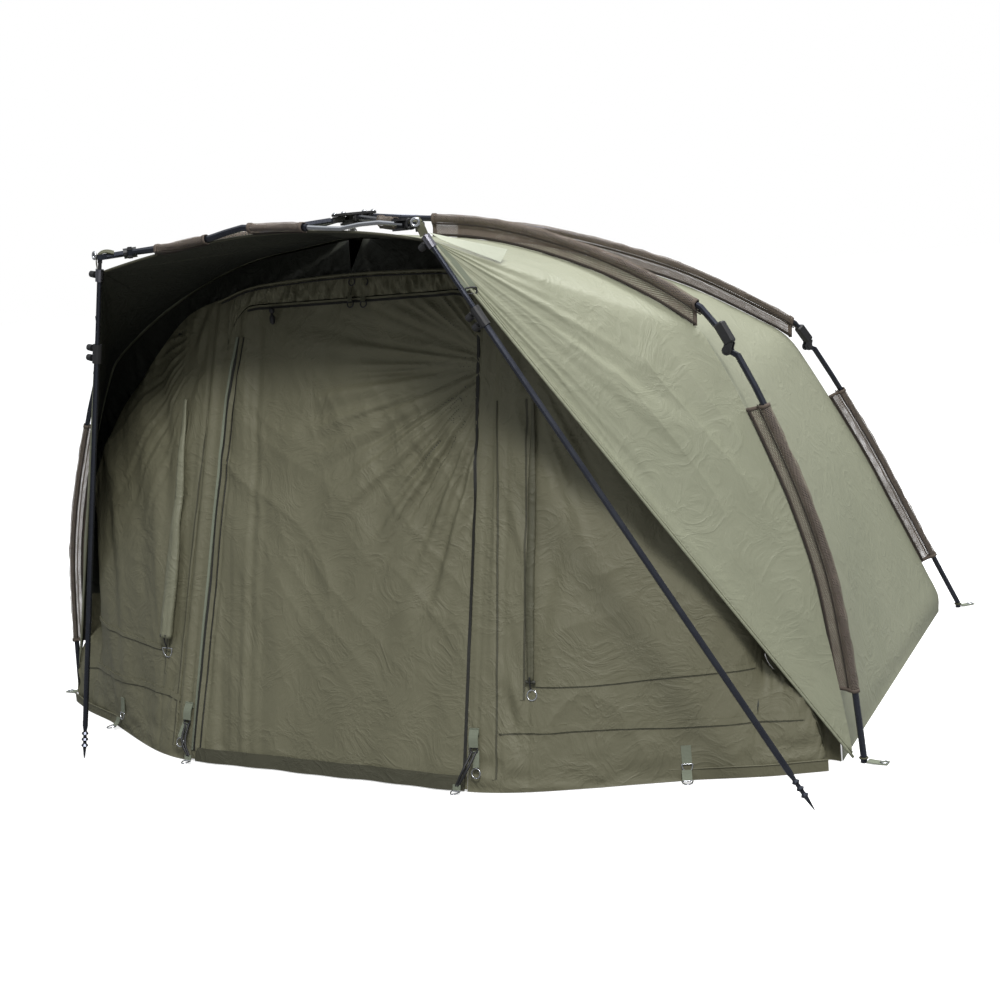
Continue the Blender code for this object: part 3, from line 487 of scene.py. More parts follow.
# A dark copy of the cloth: painted shade, for the insides of the roof, wings, front, door and corner
# patches, and for the upper peak gathers.
dark_lining = cloth_finish("dark_lining", (52, 54, 47), (46, 48, 42), (64, 66, 58), 0.7, 0.55)
mesh_values = {"Colour": (128, 116, 105), "Other": (104, 94, 85), "Hole": 0.36, "Holes": 230.0}
sleeve_mesh = finish("sleeve_mesh", NETTING, 0.5, 0.0006, mesh_values, Roughness=0.85)
sleeve_tape = tape_finish("sleeve_tape", (112, 100, 90), (86, 76, 68), 2200.0, 0.5, 0.0004, 0.85)
sleeve_seam = tape_finish("sleeve_seam", (62, 54, 47), (44, 38, 33), 2200.0, 0.5, 0.0004, 0.85)
zip_black = tape_finish("zip_black", (40, 40, 34), (26, 26, 22), 2600.0, 0.6, 0.0005, 0.6)
# A darker copy of the front cloth: painted shade on the rolled window cover.
rolled_cloth = cloth_finish("rolled_cloth", (84, 83, 65), (76, 75, 58), (104, 103, 83), 0.9, 0.55)
# A lighter copy of the front cloth: painted light on the left window cover.
light_cloth = cloth_finish("light_cloth", (124, 124, 104), (116, 116, 96), (144, 144, 122), 0.9, 0.5)
# A darker copy of the front cloth for hems and seams: partly their own tone, partly painted shade; as thin
# strips under the window and skirt seams it is a painted shadow line.
hem_cloth = cloth_finish("hem_cloth", (72, 71, 56), (64, 63, 50), (90, 89, 72), 0.6, 0.6)
pale_cloth = cloth_finish(
    "pale_cloth", (196, 200, 182), (188, 192, 173), (212, 216, 199), 0.4, 0.5, bump=0.4, distance=0.004
)
web_tape = tape_finish("web_tape", (140, 146, 130), (112, 118, 102), 1900.0, 0.6, 0.0005, 0.85)
olive_tape = tape_finish("olive_tape", (98, 98, 78), (74, 74, 57), 2400.0, 0.6, 0.0005, 0.85)
frame_tube = wear_finish("frame_tube", (60, 63, 73), (104, 106, 112), 0.2, 0.24, 0.2, 0.25, 0.0002, 0.9)
black_moulding = wear_finish("black_moulding", (30, 30, 32), (66, 66, 68), 0.35, 0.44, 0.8, 0.3, 0.0003)
bright_metal = wear_finish(
    "bright_metal", (205, 207, 212), (150, 152, 156), 0.3, 0.18, 0.2, 0.15, 0.0001, 1.0
)
knurled_metal = wear_finish(
    "knurled_metal", (128, 127, 136), (186, 186, 194), 0.3, 0.2, 0.8, 0.3, 0.0002, 1.0
)
toggle_nylon = wear_finish("toggle_nylon", (58, 58, 52), (96, 96, 88), 0.3, 0.42, 0.6, 0.3, 0.0003)


# The frame's lines

HUB = P(0, -0.036, 1.417)
HANG = 0.047
INSIDE = P(0, 0.62, 0.55)
CORNER = {label: P(hand * 0.491, -0.492, 1.375) for label, hand in SIDES}
CLOTH_CORNER = {label: P(hand * 0.511, -0.478, 1.338) for label, hand in SIDES}
SIDE_UPPER = (
    (0.128, 0.990), (0.292, 0.972), (0.455, 0.929), (0.609, 0.867), (0.750, 0.784), (0.800, 0.718)
)
SIDE_LOWER = (
    (0.845, 0.634), (0.896, 0.522), (0.929, 0.4375), (0.957, 0.3465), (0.974, 0.259), (0.991, 0.124)
)
REAR_UPPER = (
    (0.100, 0.990), (0.239, 0.960), (0.309, 0.939), (0.4206, 0.892),
    (0.536, 0.8307), (0.6544, 0.746), (0.7056, 0.703), (0.7315, 0.660),
)
REAR_LOWER = ((0.769, 0.583), (0.842, 0.419), (0.897, 0.278), (0.964, 0.103))


class Arm:
    """A rib and its leg, as one line in an upright plane through the hub's axis."""

    def __init__(self, x, y, upper=(), lower=()):
        """x and y are the foot; upper and lower are shares of its reach and of the hub's height."""
        flat = P(x, y, 0) - P(0, -0.036, 0)
        self.reach = np.linalg.norm(flat)
        self.out = flat / self.reach
        self.across = unit(np.cross(UP, self.out))
        self.pivot = HUB + self.out * 0.050
        self.foot = P(x, y, 0)
        if upper:
            knots = [self.pivot] + [self.at(*s) for s in upper]
            self.line = spline(knots + [self.at(*s) for s in lower] + [self.foot], 121)
            self.split = int(np.argmin(np.linalg.norm(self.line - knots[-1], axis=1)))
            self.knee = self.line[self.split]
            self.up = unit(self.knee - self.line[self.split - 3])
            self.down = unit(self.line[self.split + 3] - self.knee)
            inner = np.cross(self.across, unit(self.up + self.down))
            self.inner = inner if inner[2] < 0 else -inner
            self.hinge = self.knee + self.inner * 0.015
            side = np.cross(self.across, unit(np.gradient(self.line, axis=0)))
            self.into = np.where(side[:, 2:] < 0, side, -side)

    def at(self, reach, height):
        """The point at these shares of the arm's reach and of the hub's height."""
        point = HUB + self.out * (self.reach * reach)
        point[2] = HUB[2] * height
        return point

    def seam(self, shares):
        """The line under the rib where its two panels are sewn, from the crown to the ground."""
        picks = np.arange(4, 121, 4)
        line = np.vstack([HUB + self.out * 0.026 - UP * HANG, self.line[picks] + self.into[picks] * HANG])
        line = line[line[:, 2] > 0]
        last = line[-1].copy()
        last[2] = 0
        return spline(np.vstack([line, last]), shares)


ARM = {}
for label, hand in SIDES:
    ARM["front", label] = Arm(hand * 0.491, -0.492)
    ARM["side", label] = Arm(hand * 1.300, 0, SIDE_UPPER, SIDE_LOWER)
    ARM["rear", label] = Arm(hand * 1.157, 1.513, REAR_UPPER, REAR_LOWER)


def roof_edge(share):
    """A point of the roof's front edge, for shares from -1 at the left corner to 1 at the right."""
    share = np.asarray(share, float)
    bow = 1 - share**2
    return np.stack([0.511 * share, -0.478 + 0.040 * bow - MIDDLE, 1.338 + 0.056 * bow], axis=-1)


def facing(n, way):
    """The directions n, turned round if on the whole they point against way."""
    return n if (way * n).sum() > 0 else -n


def sheet_piece(name, grid, finish, body, thick=0.0012, lit=None, lining=None):
    """A closed sheet of cloth: the outer layer, the inner one a cloth's thickness inside it, and the
    rim. Lit gives the outer layer's normals where the sheet carries on into its neighbour."""
    n = normals(grid) if lit is None else lit
    n = facing(n, grid - INSIDE)
    if ((INSIDE - grid) * normals(grid)).sum() > 0:
        grid, n = grid[:, ::-1], n[:, ::-1]
    inner = grid - n * thick
    inner[..., 2] = np.maximum(inner[..., 2], 0)
    full = np.concatenate([grid, inner[:, ::-1]], axis=1)
    shade = np.concatenate([n, -n[:, ::-1]], axis=1)
    made = piece(name, full, finish, body, wrap=True)
    made.data.materials.append(lining or finish)
    layer = np.zeros(len(made.data.polygons), int)
    columns = full.shape[1]
    layer[: (len(full) - 1) * columns] = np.arange((len(full) - 1) * columns) % columns >= grid.shape[1]
    made.data.polygons.foreach_set("material_index", layer)
    made.data.normals_split_custom_set_from_vertices(shade.reshape(-1, 3).tolist())
    return made


def area_of(grid):
    """Area of a grid of points, as the sum of its quads' half cross products of diagonals."""
    one = grid[1:, 1:] - grid[:-1, :-1]
    two = grid[1:, :-1] - grid[:-1, 1:]
    return float(np.linalg.norm(np.cross(one, two), axis=-1).sum() / 2)


# Canopy


def panel(first, last, cols, belly):
    """Straight rows between two seam lines, sunk inwards like a hammock: a sine across, rising from
    the crown and held to the ground."""
    u = np.linspace(0, 1, cols)[None, :, None]
    grid = first[:, None] * (1 - u) + last[:, None] * u
    n = facing(normals(grid), INSIDE - grid)
    t = np.linspace(0, 1, len(first))[:, None, None]
    sink = belly * np.sin(np.pi * u) * np.sin(np.pi * np.minimum(t * 1.6, 1) / 2)
    sink = sink * np.sqrt(np.clip((1 - t) * 4, 0, 1))
    u, t = np.broadcast_arrays(u[..., 0], t[..., 0])
    return grid + n * sink, n, u, t


def rumple(grid, n, u, t, seed, amount=0.004):
    """Slack between taut seams: crossed soft folds that die away at every edge."""
    uv = grid_uv(grid)
    fade = least(u * 8, (1 - u) * 8, t * 10, (1 - t) * 10)
    h = creases(uv[..., 0] * 3.2, uv[..., 1] * 2.2, seed)
    h = h + 0.5 * noise(uv[..., 0] * 7, uv[..., 1] * 5, seed + 3)
    return grid + n * (amount * fade * (h - 0.6))[..., None]


def gathers(made):
    """Gives the cloth its own copy of its mesh."""
    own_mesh(made)


def hang_half(name, grid, lit, kind, label, node):
    """Half a panel, which hangs on its own rib."""
    made = sheet_piece(f"{name}_{label}", grid, canopy_cloth, f"{kind}_rib_{label}", lit=lit)
    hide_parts(node)
    gathers(made)


rows = np.linspace(0, 1, 161)
for label, hand in SIDES:
    side, rear = ARM["side", label].seam(rows), ARM["rear", label].seam(rows)
    grid, n, u, t = panel(side, rear, 97, 0.030)
    pull = np.sin(np.pi * np.clip(t * 1.1, 0, 1)) * (np.exp(-u * 16) + np.exp(-(1 - u) * 16))
    tucks = pull * noise(t * 46 + u * 3, u * 2, 40 + hand) * 0.004
    tucks = tucks * np.clip(np.minimum(u, 1 - u) * 90, 0, 1)
    grid = rumple(grid, n, u, t, 20 + hand, 0.005) + n * tucks[..., None]
    lit = facing(normals(grid), grid - INSIDE)
    for kind, part in (("side", slice(0, 49)), ("rear", slice(48, 97))):
        hang_half(f"{kind}_half_panel", grid[:, part], lit[:, part], kind, label, f"side_panel_{label}")

left, right = ARM["rear", "left"].seam(rows), ARM["rear", "right"].seam(rows)
grid, n, u, t = panel(left, right, 161, 0.030)
grid = rumple(grid, n, u, t, 33, 0.005)
lit = facing(normals(grid), grid - INSIDE)
for label, part in (("left", slice(0, 81)), ("right", slice(80, 161))):
    hang_half("back_half_panel", grid[:, part], lit[:, part], "rear", label, "rear_panel")

# Roof peak, in two halves that meet on the middle line
share = np.linspace(-1, 1, 97)
edge = roof_edge(share)
apex = HUB - UP * HANG
u = np.linspace(0.03, 1, 41)[:, None, None]
grid = apex + (edge[None] - apex) * u
hem_drop = np.clip((u - 0.93) / 0.07, 0, 1) ** 2 * 0.004
slack = np.sin(np.pi * u) * (0.5 - 0.5 * np.cos(2 * np.pi * (share[None, :, None] + 1))) * 0.010
folds = noise(share[None] * 9 + u[..., 0] * 2, u[..., 0] * 3, 61)[..., None] * 0.004 * np.sin(np.pi * u)
grid = grid - UP * (slack + hem_drop - folds)
lit = facing(normals(grid), UP)
for label, part in (("left", slice(0, 49)), ("right", slice(48, 97))):
    half, body = grid[:, part], f"front_rib_{label}"
    made = sheet_piece(f"roof_peak_{label}", half, canopy_cloth, body, lit=lit[:, part], lining=dark_lining)
    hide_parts("roof_peak")
    gathers(made)
    hem = tube(roof_edge(np.linspace(0, 0.985, 40) * dict(SIDES)[label]) - UP * 0.003, 0.0035, 10)
    made = piece(f"roof_hem_{label}", hem, hem_cloth, body, wrap=True)
    gathers(made)

# Wings: fans from the corners to the side seams, tight at the corner and rumpled towards the leg
def wing_points(label, hand, U, T):
    """Points of a wing: straight lines from the corner (U 0) to the side seam (U 1), T along the seam
    from crown to foot, with folds that start at the corner and low folds near the leg."""
    arm, corner = ARM["side", label], CLOTH_CORNER[label]
    shares = np.linspace(0, 1, 400)
    seam = arm.seam(0.006 + 0.994 * shares)
    top = apex + (corner - apex) * 0.09 + arm.out * 0.009
    seam = top + (seam - top) * np.clip(shares * 180, 0, 1)[:, None]
    flare = np.clip((shares - 0.78) / 0.22, 0, 1) ** 2
    seam = seam + np.array([0.033 * hand, -0.024, 0.020]) * flare[:, None]
    foot = np.stack([np.interp(T, shares, seam[:, k]) for k in range(3)], -1)
    grid = corner + (foot - corner) * U[..., None]
    n = unit(np.cross(arm.seam([0.5])[0] - corner, arm.seam([1.0])[0] - corner))
    n = facing(n, INSIDE - corner)
    edge_fade = least((1 - U) * 12, T * 14, (1 - T) * 22)
    rays = noise(T * 34 + hand * 2, U * 1.2, 71) * np.exp(-((U - 0.22) / 0.34) ** 2)
    rays = rays + 0.7 * noise(T * 17, U * 1.6, 72) * np.exp(-((U - 0.45) / 0.4) ** 2)
    low = noise(T * 14, U * 7, 73) * np.exp(-((T - 0.9) / 0.16) ** 2) * np.clip(U * 2 - 0.9, 0, 1)
    crumple = creases(U * 3.5 + T * 2, T * 5 - U, 74) - 0.62
    sink = 0.012 * np.sin(np.pi * U) * np.sin(np.pi * T)
    height = sink - edge_fade * (
        rays * 0.0075 * np.sqrt(U + 0.03) + low * 0.011 + crumple * 0.007 * np.clip(U * 3, 0, 1)
    )
    far = (1 - T) * 1.55 * U
    return grid + n * (height - 0.0016 * np.exp(-((far - 0.018) / 0.003) ** 2))[..., None]


for label, hand in SIDES:
    share = np.concatenate([np.linspace(0.012, 0.2, 18), np.linspace(0.2, 1, 92)[1:]])
    grid = wing_points(label, hand, *np.broadcast_arrays(share[:, None], np.linspace(0, 1, 181)[None, :]))
    made = sheet_piece(f"wing_cloth_{label}", grid, canopy_cloth, f"side_rib_{label}", lining=dark_lining)
    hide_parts(f"wing_{label}")
    gathers(made)
    n = facing(normals(grid)[:, -1], grid[:, -1] - INSIDE)
    for name, off, size in (("outer", 0.0, 0.0036), ("inner", 0.012, 0.0022)):
        row = grid[:, -1] + unit(grid[:, -14] - grid[:, -1]) * off + n * 0.001
        row = row[np.linspace(0, len(row) - 1, 60).astype(int)]
        row[:, 2] = np.maximum(row[:, 2], size)
        name, cord = f"wing_piping_{name}_{label}", tube(row, size, 10)
        made = piece(name, cord, canopy_cloth, f"side_rib_{label}", wrap=True)
        gathers(made)

# Front
DOOR_TOP, DOOR_CORNER = 1.210, 0.085
DOOR_FOOT = P(0.444, -0.449, 0)
ZIP_HEAD = P(0.414, -0.090, DOOR_TOP)
LIFT = 0.006
HALF_FRONT = 1.190
BASE_KNOTS = (
    (0.444, -0.436), (0.560, -0.385), (0.710, -0.318), (0.930, -0.224),
    (1.100, -0.152), (1.180, -0.107), (1.235, -0.075),
)
GATHER_X = (
    0.0, 0.118, 0.272, 0.357, 0.486, 0.597, 0.672, 0.756,
    0.857, 0.905, 0.906, 0.918, 0.958, 1.000, 1.027, 1.038,
)
GATHER_Z = (
    0.900, 0.898, 0.891, 0.874, 0.843, 0.773, 0.713, 0.651,
    0.545, 0.456, 0.233, 0.185, 0.157, 0.123, 0.064, 0.0,
)


def door_y(z):
    """Depth of the door's plane, which leans back towards its top."""
    return DOOR_FOOT[1] + (ZIP_HEAD[1] - DOOR_FOOT[1]) * z / DOOR_TOP


def door_half(z):
    """Half the door's width at height z, narrower towards the top."""
    return DOOR_FOOT[0] + (ZIP_HEAD[0] - DOOR_FOOT[0]) * z / DOOR_TOP


def door_top(x):
    """Height of the door's zip over the door, with rounded corners."""
    beyond = np.clip((np.abs(x) - ZIP_HEAD[0] + DOOR_CORNER) / DOOR_CORNER, 0, 1)
    return DOOR_TOP - DOOR_CORNER * beyond**2.2


def gather_line(count, hand, start=0.0):
    """The upper gather line on one side, from a share of its half width out to the foot."""
    knots = []
    for share_x, share_z in zip(GATHER_X, GATHER_Z):
        x = share_x * HALF_FRONT
        near = min(max((0.72 - x) / 0.30, 0), 1)
        step = min(max((share_x - 0.905) / 0.02, 0), 1)
        knots.append(P(x, -0.030 - 0.050 * near**2 - 0.045 * step, share_z * HUB[2]))
    line = spline(knots, 400)
    line = line[line[:, 0] >= start * HALF_FRONT]
    return spline(line, count) * [hand, 1, 1]


def on_cloth(grid, x, z):
    """The points of a front grid that lie at the given x and z, and the directions it faces there."""
    n = facing(normals(grid).reshape(-1, 3), FORWARD)
    flat = grid.reshape(-1, 3)
    x, z = np.broadcast_arrays(np.atleast_1d(x), np.atleast_1d(z))
    far = (flat[None, :, 0] - x[:, None]) ** 2 + (flat[None, :, 2] - z[:, None]) ** 2
    near = np.argsort(far, axis=1)[:, :4]
    share = 1 / (np.take_along_axis(far, near, 1) + 1e-7)
    share = (share / share.sum(1, keepdims=True))[..., None]
    return (flat[near] * share).sum(1), unit((n[near] * share).sum(1))


def front_line(points, count):
    """A smooth line of count points through (x, z) pairs of the front."""
    points = np.asarray(points, float)
    return spline(np.stack([points[:, 0], 0 * points[:, 0], points[:, 1]], 1), count)


def smoothed(path, times, directions=False):
    """The path with its inner points averaged with their neighbours, 1 2 1, this many times;
    directions are kept at unit length."""
    path = path.copy()
    for _ in range(times):
        inner = (path[:-2] + 2 * path[1:-1] + path[2:]) / 4
        path[1:-1] = unit(inner) if directions else inner
    return path


def band(name, line, face, width, thick, finish, body="tent"):
    """A flat strip with crisp edges along a line of points, which faces the given way."""
    return piece(name, ribbon(line, face, width, thick, 7), finish, body, wrap=True, sharp=40)


def tape_on(name, grid, line, width, thick, finish, body="tent", lift=0.0):
    """A strip laid on a front grid along points given as (x, z)."""
    line = front_line(line, max(12, int(60 * len(line) ** 0.5)))
    place, n = on_cloth(grid, line[:, 0], line[:, 2])
    n = smoothed(n, 6, directions=True)
    band(name, smoothed(place, 6) + n * (thick / 2 + lift), n, width, thick, finish, body)


fronts = {}
for label, hand in SIDES:
    top = gather_line(181, hand, ZIP_HEAD[0] * 0.985 / HALF_FRONT)
    base = spline([P(hand * x, y, 0.0) for x, y in BASE_KNOTS], 181)
    w = np.linspace(0, 1, 231)[:, None, None]
    v = np.linspace(0, 1, 181)[None, :]
    grid = base[None] * (1 - w) + top[None] * w
    plane = door_y(grid[..., 2]) + 0.004 * np.clip(w[..., 0] * 12 - 11, 0, 1)
    blend = (1 - v) ** 3
    bow = grid[..., 1].copy()
    grid[..., 1] = bow * (1 - blend) + plane * blend
    w = w[..., 0]
    x, z = np.abs(grid[..., 0]), grid[..., 2]
    inner = x - door_half(z)
    n = facing(normals(grid), FORWARD)
    low = np.clip(1 - z / 0.138, 0, 1)
    edges = least(v * 40, (1 - v) * 30, w * 60, (1 - w) * 50)
    pleats = noise(inner * 95, z * 1.1 + hand, 81) * np.exp(-((inner - 0.035) / 0.030) ** 2)
    slant = noise(inner * 34 + z * 13, z * 5 - inner * 9, 82) * np.exp(-((inner - 0.11) / 0.036) ** 2)
    field = np.clip((inner - 0.15) / 0.05, 0, 1)
    drape = noise((x - 0.35 * z) * 9, z * 1.2, 83 + hand) * 0.9
    drape = drape + 0.5 * noise((x - 0.2 * z) * 21, z * 2.1, 84 + hand)
    angle, away = np.arctan2(np.abs(1.16 - z), np.abs(x - 0.50) + 0.02), np.hypot(1.16 - z, x - 0.5)
    fan = noise(angle * 26, away * 2.2, 85 + hand) * np.clip(1 - away / 0.75, 0, 1)
    crumple = creases(x * 7, z * 5, 86 + hand, 1.3) - 0.62
    skirt = noise(x * 16, z * 30, 87 + hand) * low
    far = np.linalg.norm(grid - top[None], axis=2)
    pucker = noise(v * 95, far * 14, 88 + hand) + 0.6 * noise(v * 180, far * 20, 89)
    pucker = pucker * np.exp(-far / 0.045)
    height = pleats * 0.0095 + slant * 0.0080 + field * (drape * 0.0100 + fan * 0.0090 + crumple * 0.0075)
    height = height * (0.35 + 0.65 * np.clip(z / 0.16, 0, 1)) + skirt * 0.0065 + pucker * 0.0085
    height = height + 0.016 * np.sin(np.pi * v) * np.sin(np.pi * w)
    for seam_x in (0.082, 0.149):
        height = height - 0.0022 * np.exp(-((inner - seam_x) / 0.0045) ** 2)
    grid = grid + n * (height * edges)[..., None]
    grid[..., 2] = np.maximum(grid[..., 2], 0.0015)
    fronts[label] = grid
    name = f"front_cloth_{label}"
    made = sheet_piece(name, grid, front_cloth, "tent", lining=dark_lining)
    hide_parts(f"front_panel_{label}")

# Door
w, s = np.linspace(0, 1, 241)[:, None], np.linspace(-1, 1, 181)[None, :]
x = s * door_half(DOOR_TOP)
z = LIFT + (door_top(x) - 0.002 - LIFT) * w
x = s * (door_half(z) - 0.001)
grid = np.stack([x, door_y(z), z], axis=-1)
n = unit(np.array([0, -DOOR_TOP, ZIP_HEAD[1] - DOOR_FOOT[1]]))
edges = least((1 - np.abs(s)) * 30, w * 30, (1 - w) * 40)
away = np.hypot(x - 0.47, z - 1.02)
turned = np.arctan2(1.02 - z, 0.47 - x)
rays = noise(turned * 15 + 9, away * 1.8, 91) * np.exp(-((away - 0.34) / 0.27) ** 2)
rays = rays + 0.5 * noise(turned * 34 + 9, away * 3.2, 92) * np.exp(-((away - 0.28) / 0.2) ** 2)
hangs = noise(x * 13 + 0.5 * noise(x * 3, z * 3, 93), z * 1.3, 94) * (0.5 + 0.5 * np.clip(0.2 - x, 0, 1))
left = noise((x + 0.06 * z) * 46, z * 0.9, 95) * np.exp(-((x + 0.33) / 0.085) ** 2)
crisp = creases((x * 0.8 + z * 0.6) * 8, (z * 0.8 - x * 0.6) * 3.4, 96, 1.2) - 0.62
crisp = crisp * np.clip(1.25 - np.abs(z - 0.72) * 1.4, 0.15, 1)
pucker = noise(z * 62, x * 9, 97) * np.exp(-(door_half(z) - x) / 0.030) * np.clip(z * 3 - 2.0, 0, 1)
gather = noise(x * 75, z * 8, 98) * np.exp(-(door_top(x) - z) / 0.035)
height = rays * 0.0130 + hangs * 0.0110 + left * 0.0095 + crisp * 0.0100
height = (height + 0.014 * np.sin(np.pi * w) * (1 - s**2)) * edges
height = height + pucker * 0.006 * np.clip((1 - s) * 200, 0, 1)
height = height + gather * 0.0045 * np.clip((1 - w) * 120, 0, 1)
height = height - 0.004 * np.exp(-((x + door_half(z) - 0.040) / 0.006) ** 2) * edges
door_grid = grid + n * height[..., None]
made = sheet_piece("door_cloth", door_grid, front_cloth, "door", lining=dark_lining)
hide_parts("door")

# Gathered strips: between the door's zip and the upper gather line, and from there to the roof
for label, hand in SIDES:
    xs = np.linspace(0, ZIP_HEAD[0], 241)
    low = np.stack([xs * hand, door_y(door_top(xs)), door_top(xs)], 1) + [0, 0, 0.001]
    high = gather_line(400, hand)
    high = high[np.abs(high[:, 0]) <= ZIP_HEAD[0]]
    high = spline(high, 241)
    w, v = np.linspace(0, 1, 25)[:, None], np.linspace(0, 1, 241)[None, :]
    grid = low[None] * (1 - w[..., None]) + high[None] * w[..., None]
    fold = noise(v * 46 + 1.6 * w, w * 1.6, 101) + 0.55 * noise(v * 88 - w, w * 2.5, 102)
    fade = np.sin(np.pi * np.clip(w * 0.94 + 0.03, 0, 1)) ** 0.6
    grid = grid + np.array([0, -0.9, -0.2]) * (fold * 0.0110 * fade)[..., None]
    name = f"zip_gather_{label}"
    made = sheet_piece(name, grid, front_cloth, "tent", lining=dark_lining)
    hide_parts("arch_band")
    low = gather_line(481, hand)
    high = spline(ARM["side", label].seam(np.linspace(0, 1, 200)), 481)
    w, v = np.linspace(0, 1, 41)[:, None], np.linspace(0, 1, 481)[None, :]
    over = high - low
    high = high - unit(over) * 0.010
    grid = low[None] * (1 - w[..., None]) + high[None] * w[..., None]
    fold = noise(v * 92 + 2.2 * w, w * 1.4, 103 + hand) + 0.6 * noise(v * 171 - w, w * 2.6, 104 + hand)
    fade = np.clip(w * 18, 0, 1) * np.exp(-w / 0.45) * np.clip((1 - w) * 6, 0, 1) * np.clip(v * 200, 0.2, 1)
    near_foot = np.clip(1 - grid[..., 2:] / 0.55, 0, 1) * np.sin(np.pi * w)[..., None]
    grid = grid + np.array([-0.030 * hand, 0.030, 0]) * near_foot
    fade = fade * np.clip(grid[..., 2] / 0.5 - 0.1, 0.08, 1)
    grid = grid + np.array([0, -0.9, -0.3]) * (fold * 0.0150 * fade)[..., None]
    grid[..., 2] = np.maximum(grid[..., 2], 0.0015)
    # Painted shade: the gather's outer face is the dark lining, except below 0.34 m, where the lines below
    # give it the front cloth.
    made = sheet_piece(f"peak_gather_{label}", grid, dark_lining, f"side_rib_{label}")
    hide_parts("arch_band")
    gathers(made)
    made.data.materials.append(front_cloth)
    heights = np.array([p.center[2] for p in made.data.polygons])
    layer = np.empty(len(heights), int)
    made.data.polygons.foreach_get("material_index", layer)
    made.data.polygons.foreach_set("material_index", np.where((heights < 0.34) & (layer == 0), 2, layer))

# Mesh sleeves: half the thickness of the double web, and the depth over which the loop closes to it
WEB = 0.0012
WEB_EASE = 0.024


def along_line(line, extra, distance):
    """Points and directions at distances along a line, carried on straight past its ends."""
    run = np.r_[0, np.cumsum(np.linalg.norm(np.diff(line, axis=0), axis=1))]
    inside = np.clip(distance, 0, run[-1])
    point = np.stack([np.interp(inside, run, line[:, k]) for k in range(3)], -1)
    turn = unit(np.stack([np.interp(inside, run, extra[:, k]) for k in range(3)], -1))
    ends = unit(line[1] - line[0]), unit(line[-1] - line[-2])
    before, beyond = np.minimum(distance, 0), np.maximum(distance - run[-1], 0)
    return point + before[..., None] * ends[0] + beyond[..., None] * ends[1], turn


def sleeve_half(depth, loop_r):
    """Half the sleeve's width at a depth below the tube: the loop's radius, eased down to the web."""
    share = np.clip(depth / WEB_EASE, 0, 1)
    return WEB + (loop_r - WEB) * (1 - share**2 * (3 - 2 * share))


def mesh_sleeve(name, line, into, depth, body, slant=(0.0, 0.0), loop_r=0.0112, seed=1):
    """A loop of open mesh round a tube that closes to a double web down to the seam, with taped
    ends; slant is how far the web runs on past the loop at each end."""
    length = np.linalg.norm(np.diff(line, axis=0), axis=1).sum()
    web = np.linspace(0, depth, 14)[1:]
    loop = -loop_r * np.sin(np.linspace(0, np.pi, 15))
    drop = np.concatenate([np.linspace(depth, 0, 14)[:-1], loop, web])
    wide = sleeve_half(np.abs(drop), loop_r)
    arc = loop_r * np.cos(np.linspace(0, np.pi, 15))
    lateral = np.concatenate([-wide[:13], -arc, wide[-13:]])
    share = np.clip(drop / depth, 0, 1)
    rows = max(24, int(length / 0.006))
    t = np.linspace(0, 1, rows)[:, None]
    distance = -slant[0] * share + t * (length + (slant[0] + slant[1]) * share)
    point, down = along_line(line, into, distance)
    way = unit(np.gradient(point, axis=0))
    across = np.cross(way, down)
    v = np.arange(len(drop))[None, :]
    ripple = noise(t * length * 26, v * 0.22, seed) * 0.0016 * np.clip(1.2 - share, 0.3, 1)
    ripple = ripple + noise(t * length * 60, v * 0.4, seed + 1) * 0.0006
    aside, below = lateral + np.sign(lateral) * ripple, drop - ripple * (drop < 0)
    grid = point + across * aside[..., None] + down * below[..., None]
    made = piece(name, grid, sleeve_mesh, body)
    wide = float(area_of(grid) / length)
    outline = unit(np.gradient(grid, axis=1))
    for end, row in (("start", 0), ("end", rows - 1)):
        face, outer = np.cross(outline[row], way[row]), across[row] * lateral[:, None] - down[row] * 0.001
        face = np.where((face * outer).sum(1, keepdims=True) < 0, -face, face)
        tape = ribbon(grid[row] + face * 0.0006, face, 0.009, 0.0018, 3)
        piece(f"{name}_tape_{end}", tape, sleeve_tape, body, wrap=True)
    for side, mark in ((1, "front"), (-1, "back")):
        for seam, low, width in (("hem", 0.004, 0.006), ("stitch", depth - loop_r - 0.002, 0.0035)):
            half = sleeve_half(depth - low, loop_r)
            strip = (grid[:, 0] + grid[:, -1]) / 2 - down[:, 0] * low
            strip = strip + across[:, 0] * (side * (half + 0.0022))
            strip = ribbon(strip, across[:, 0] * side, width, 0.0014, 3)
            piece(f"{name}_{seam}_{mark}", strip, sleeve_seam, body, wrap=True)
    return made


for label, hand in SIDES:
    for kind in ("side", "rear"):
        arm = ARM[kind, label]
        knee = arm.split
        high, low = (11, knee - 7) if kind == "side" else (12, knee - 4)
        for part, first, last, body, slant in (
            ("upper", high, low, f"{kind}_rib_{label}", (0.0, 0.030)),
            ("lower", knee + 9, 111, f"{kind}_leg_{label}", (0.012, -0.010)),
        ):
            name = f"{kind}_sleeve_{part}_{label}"
            line, into = arm.line[first:last], arm.into[first:last]
            seed = 110 + first + hand
            made = mesh_sleeve(f"{name}_mesh", line, into, HANG - 0.001, body, slant, seed=seed)
            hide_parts(name)

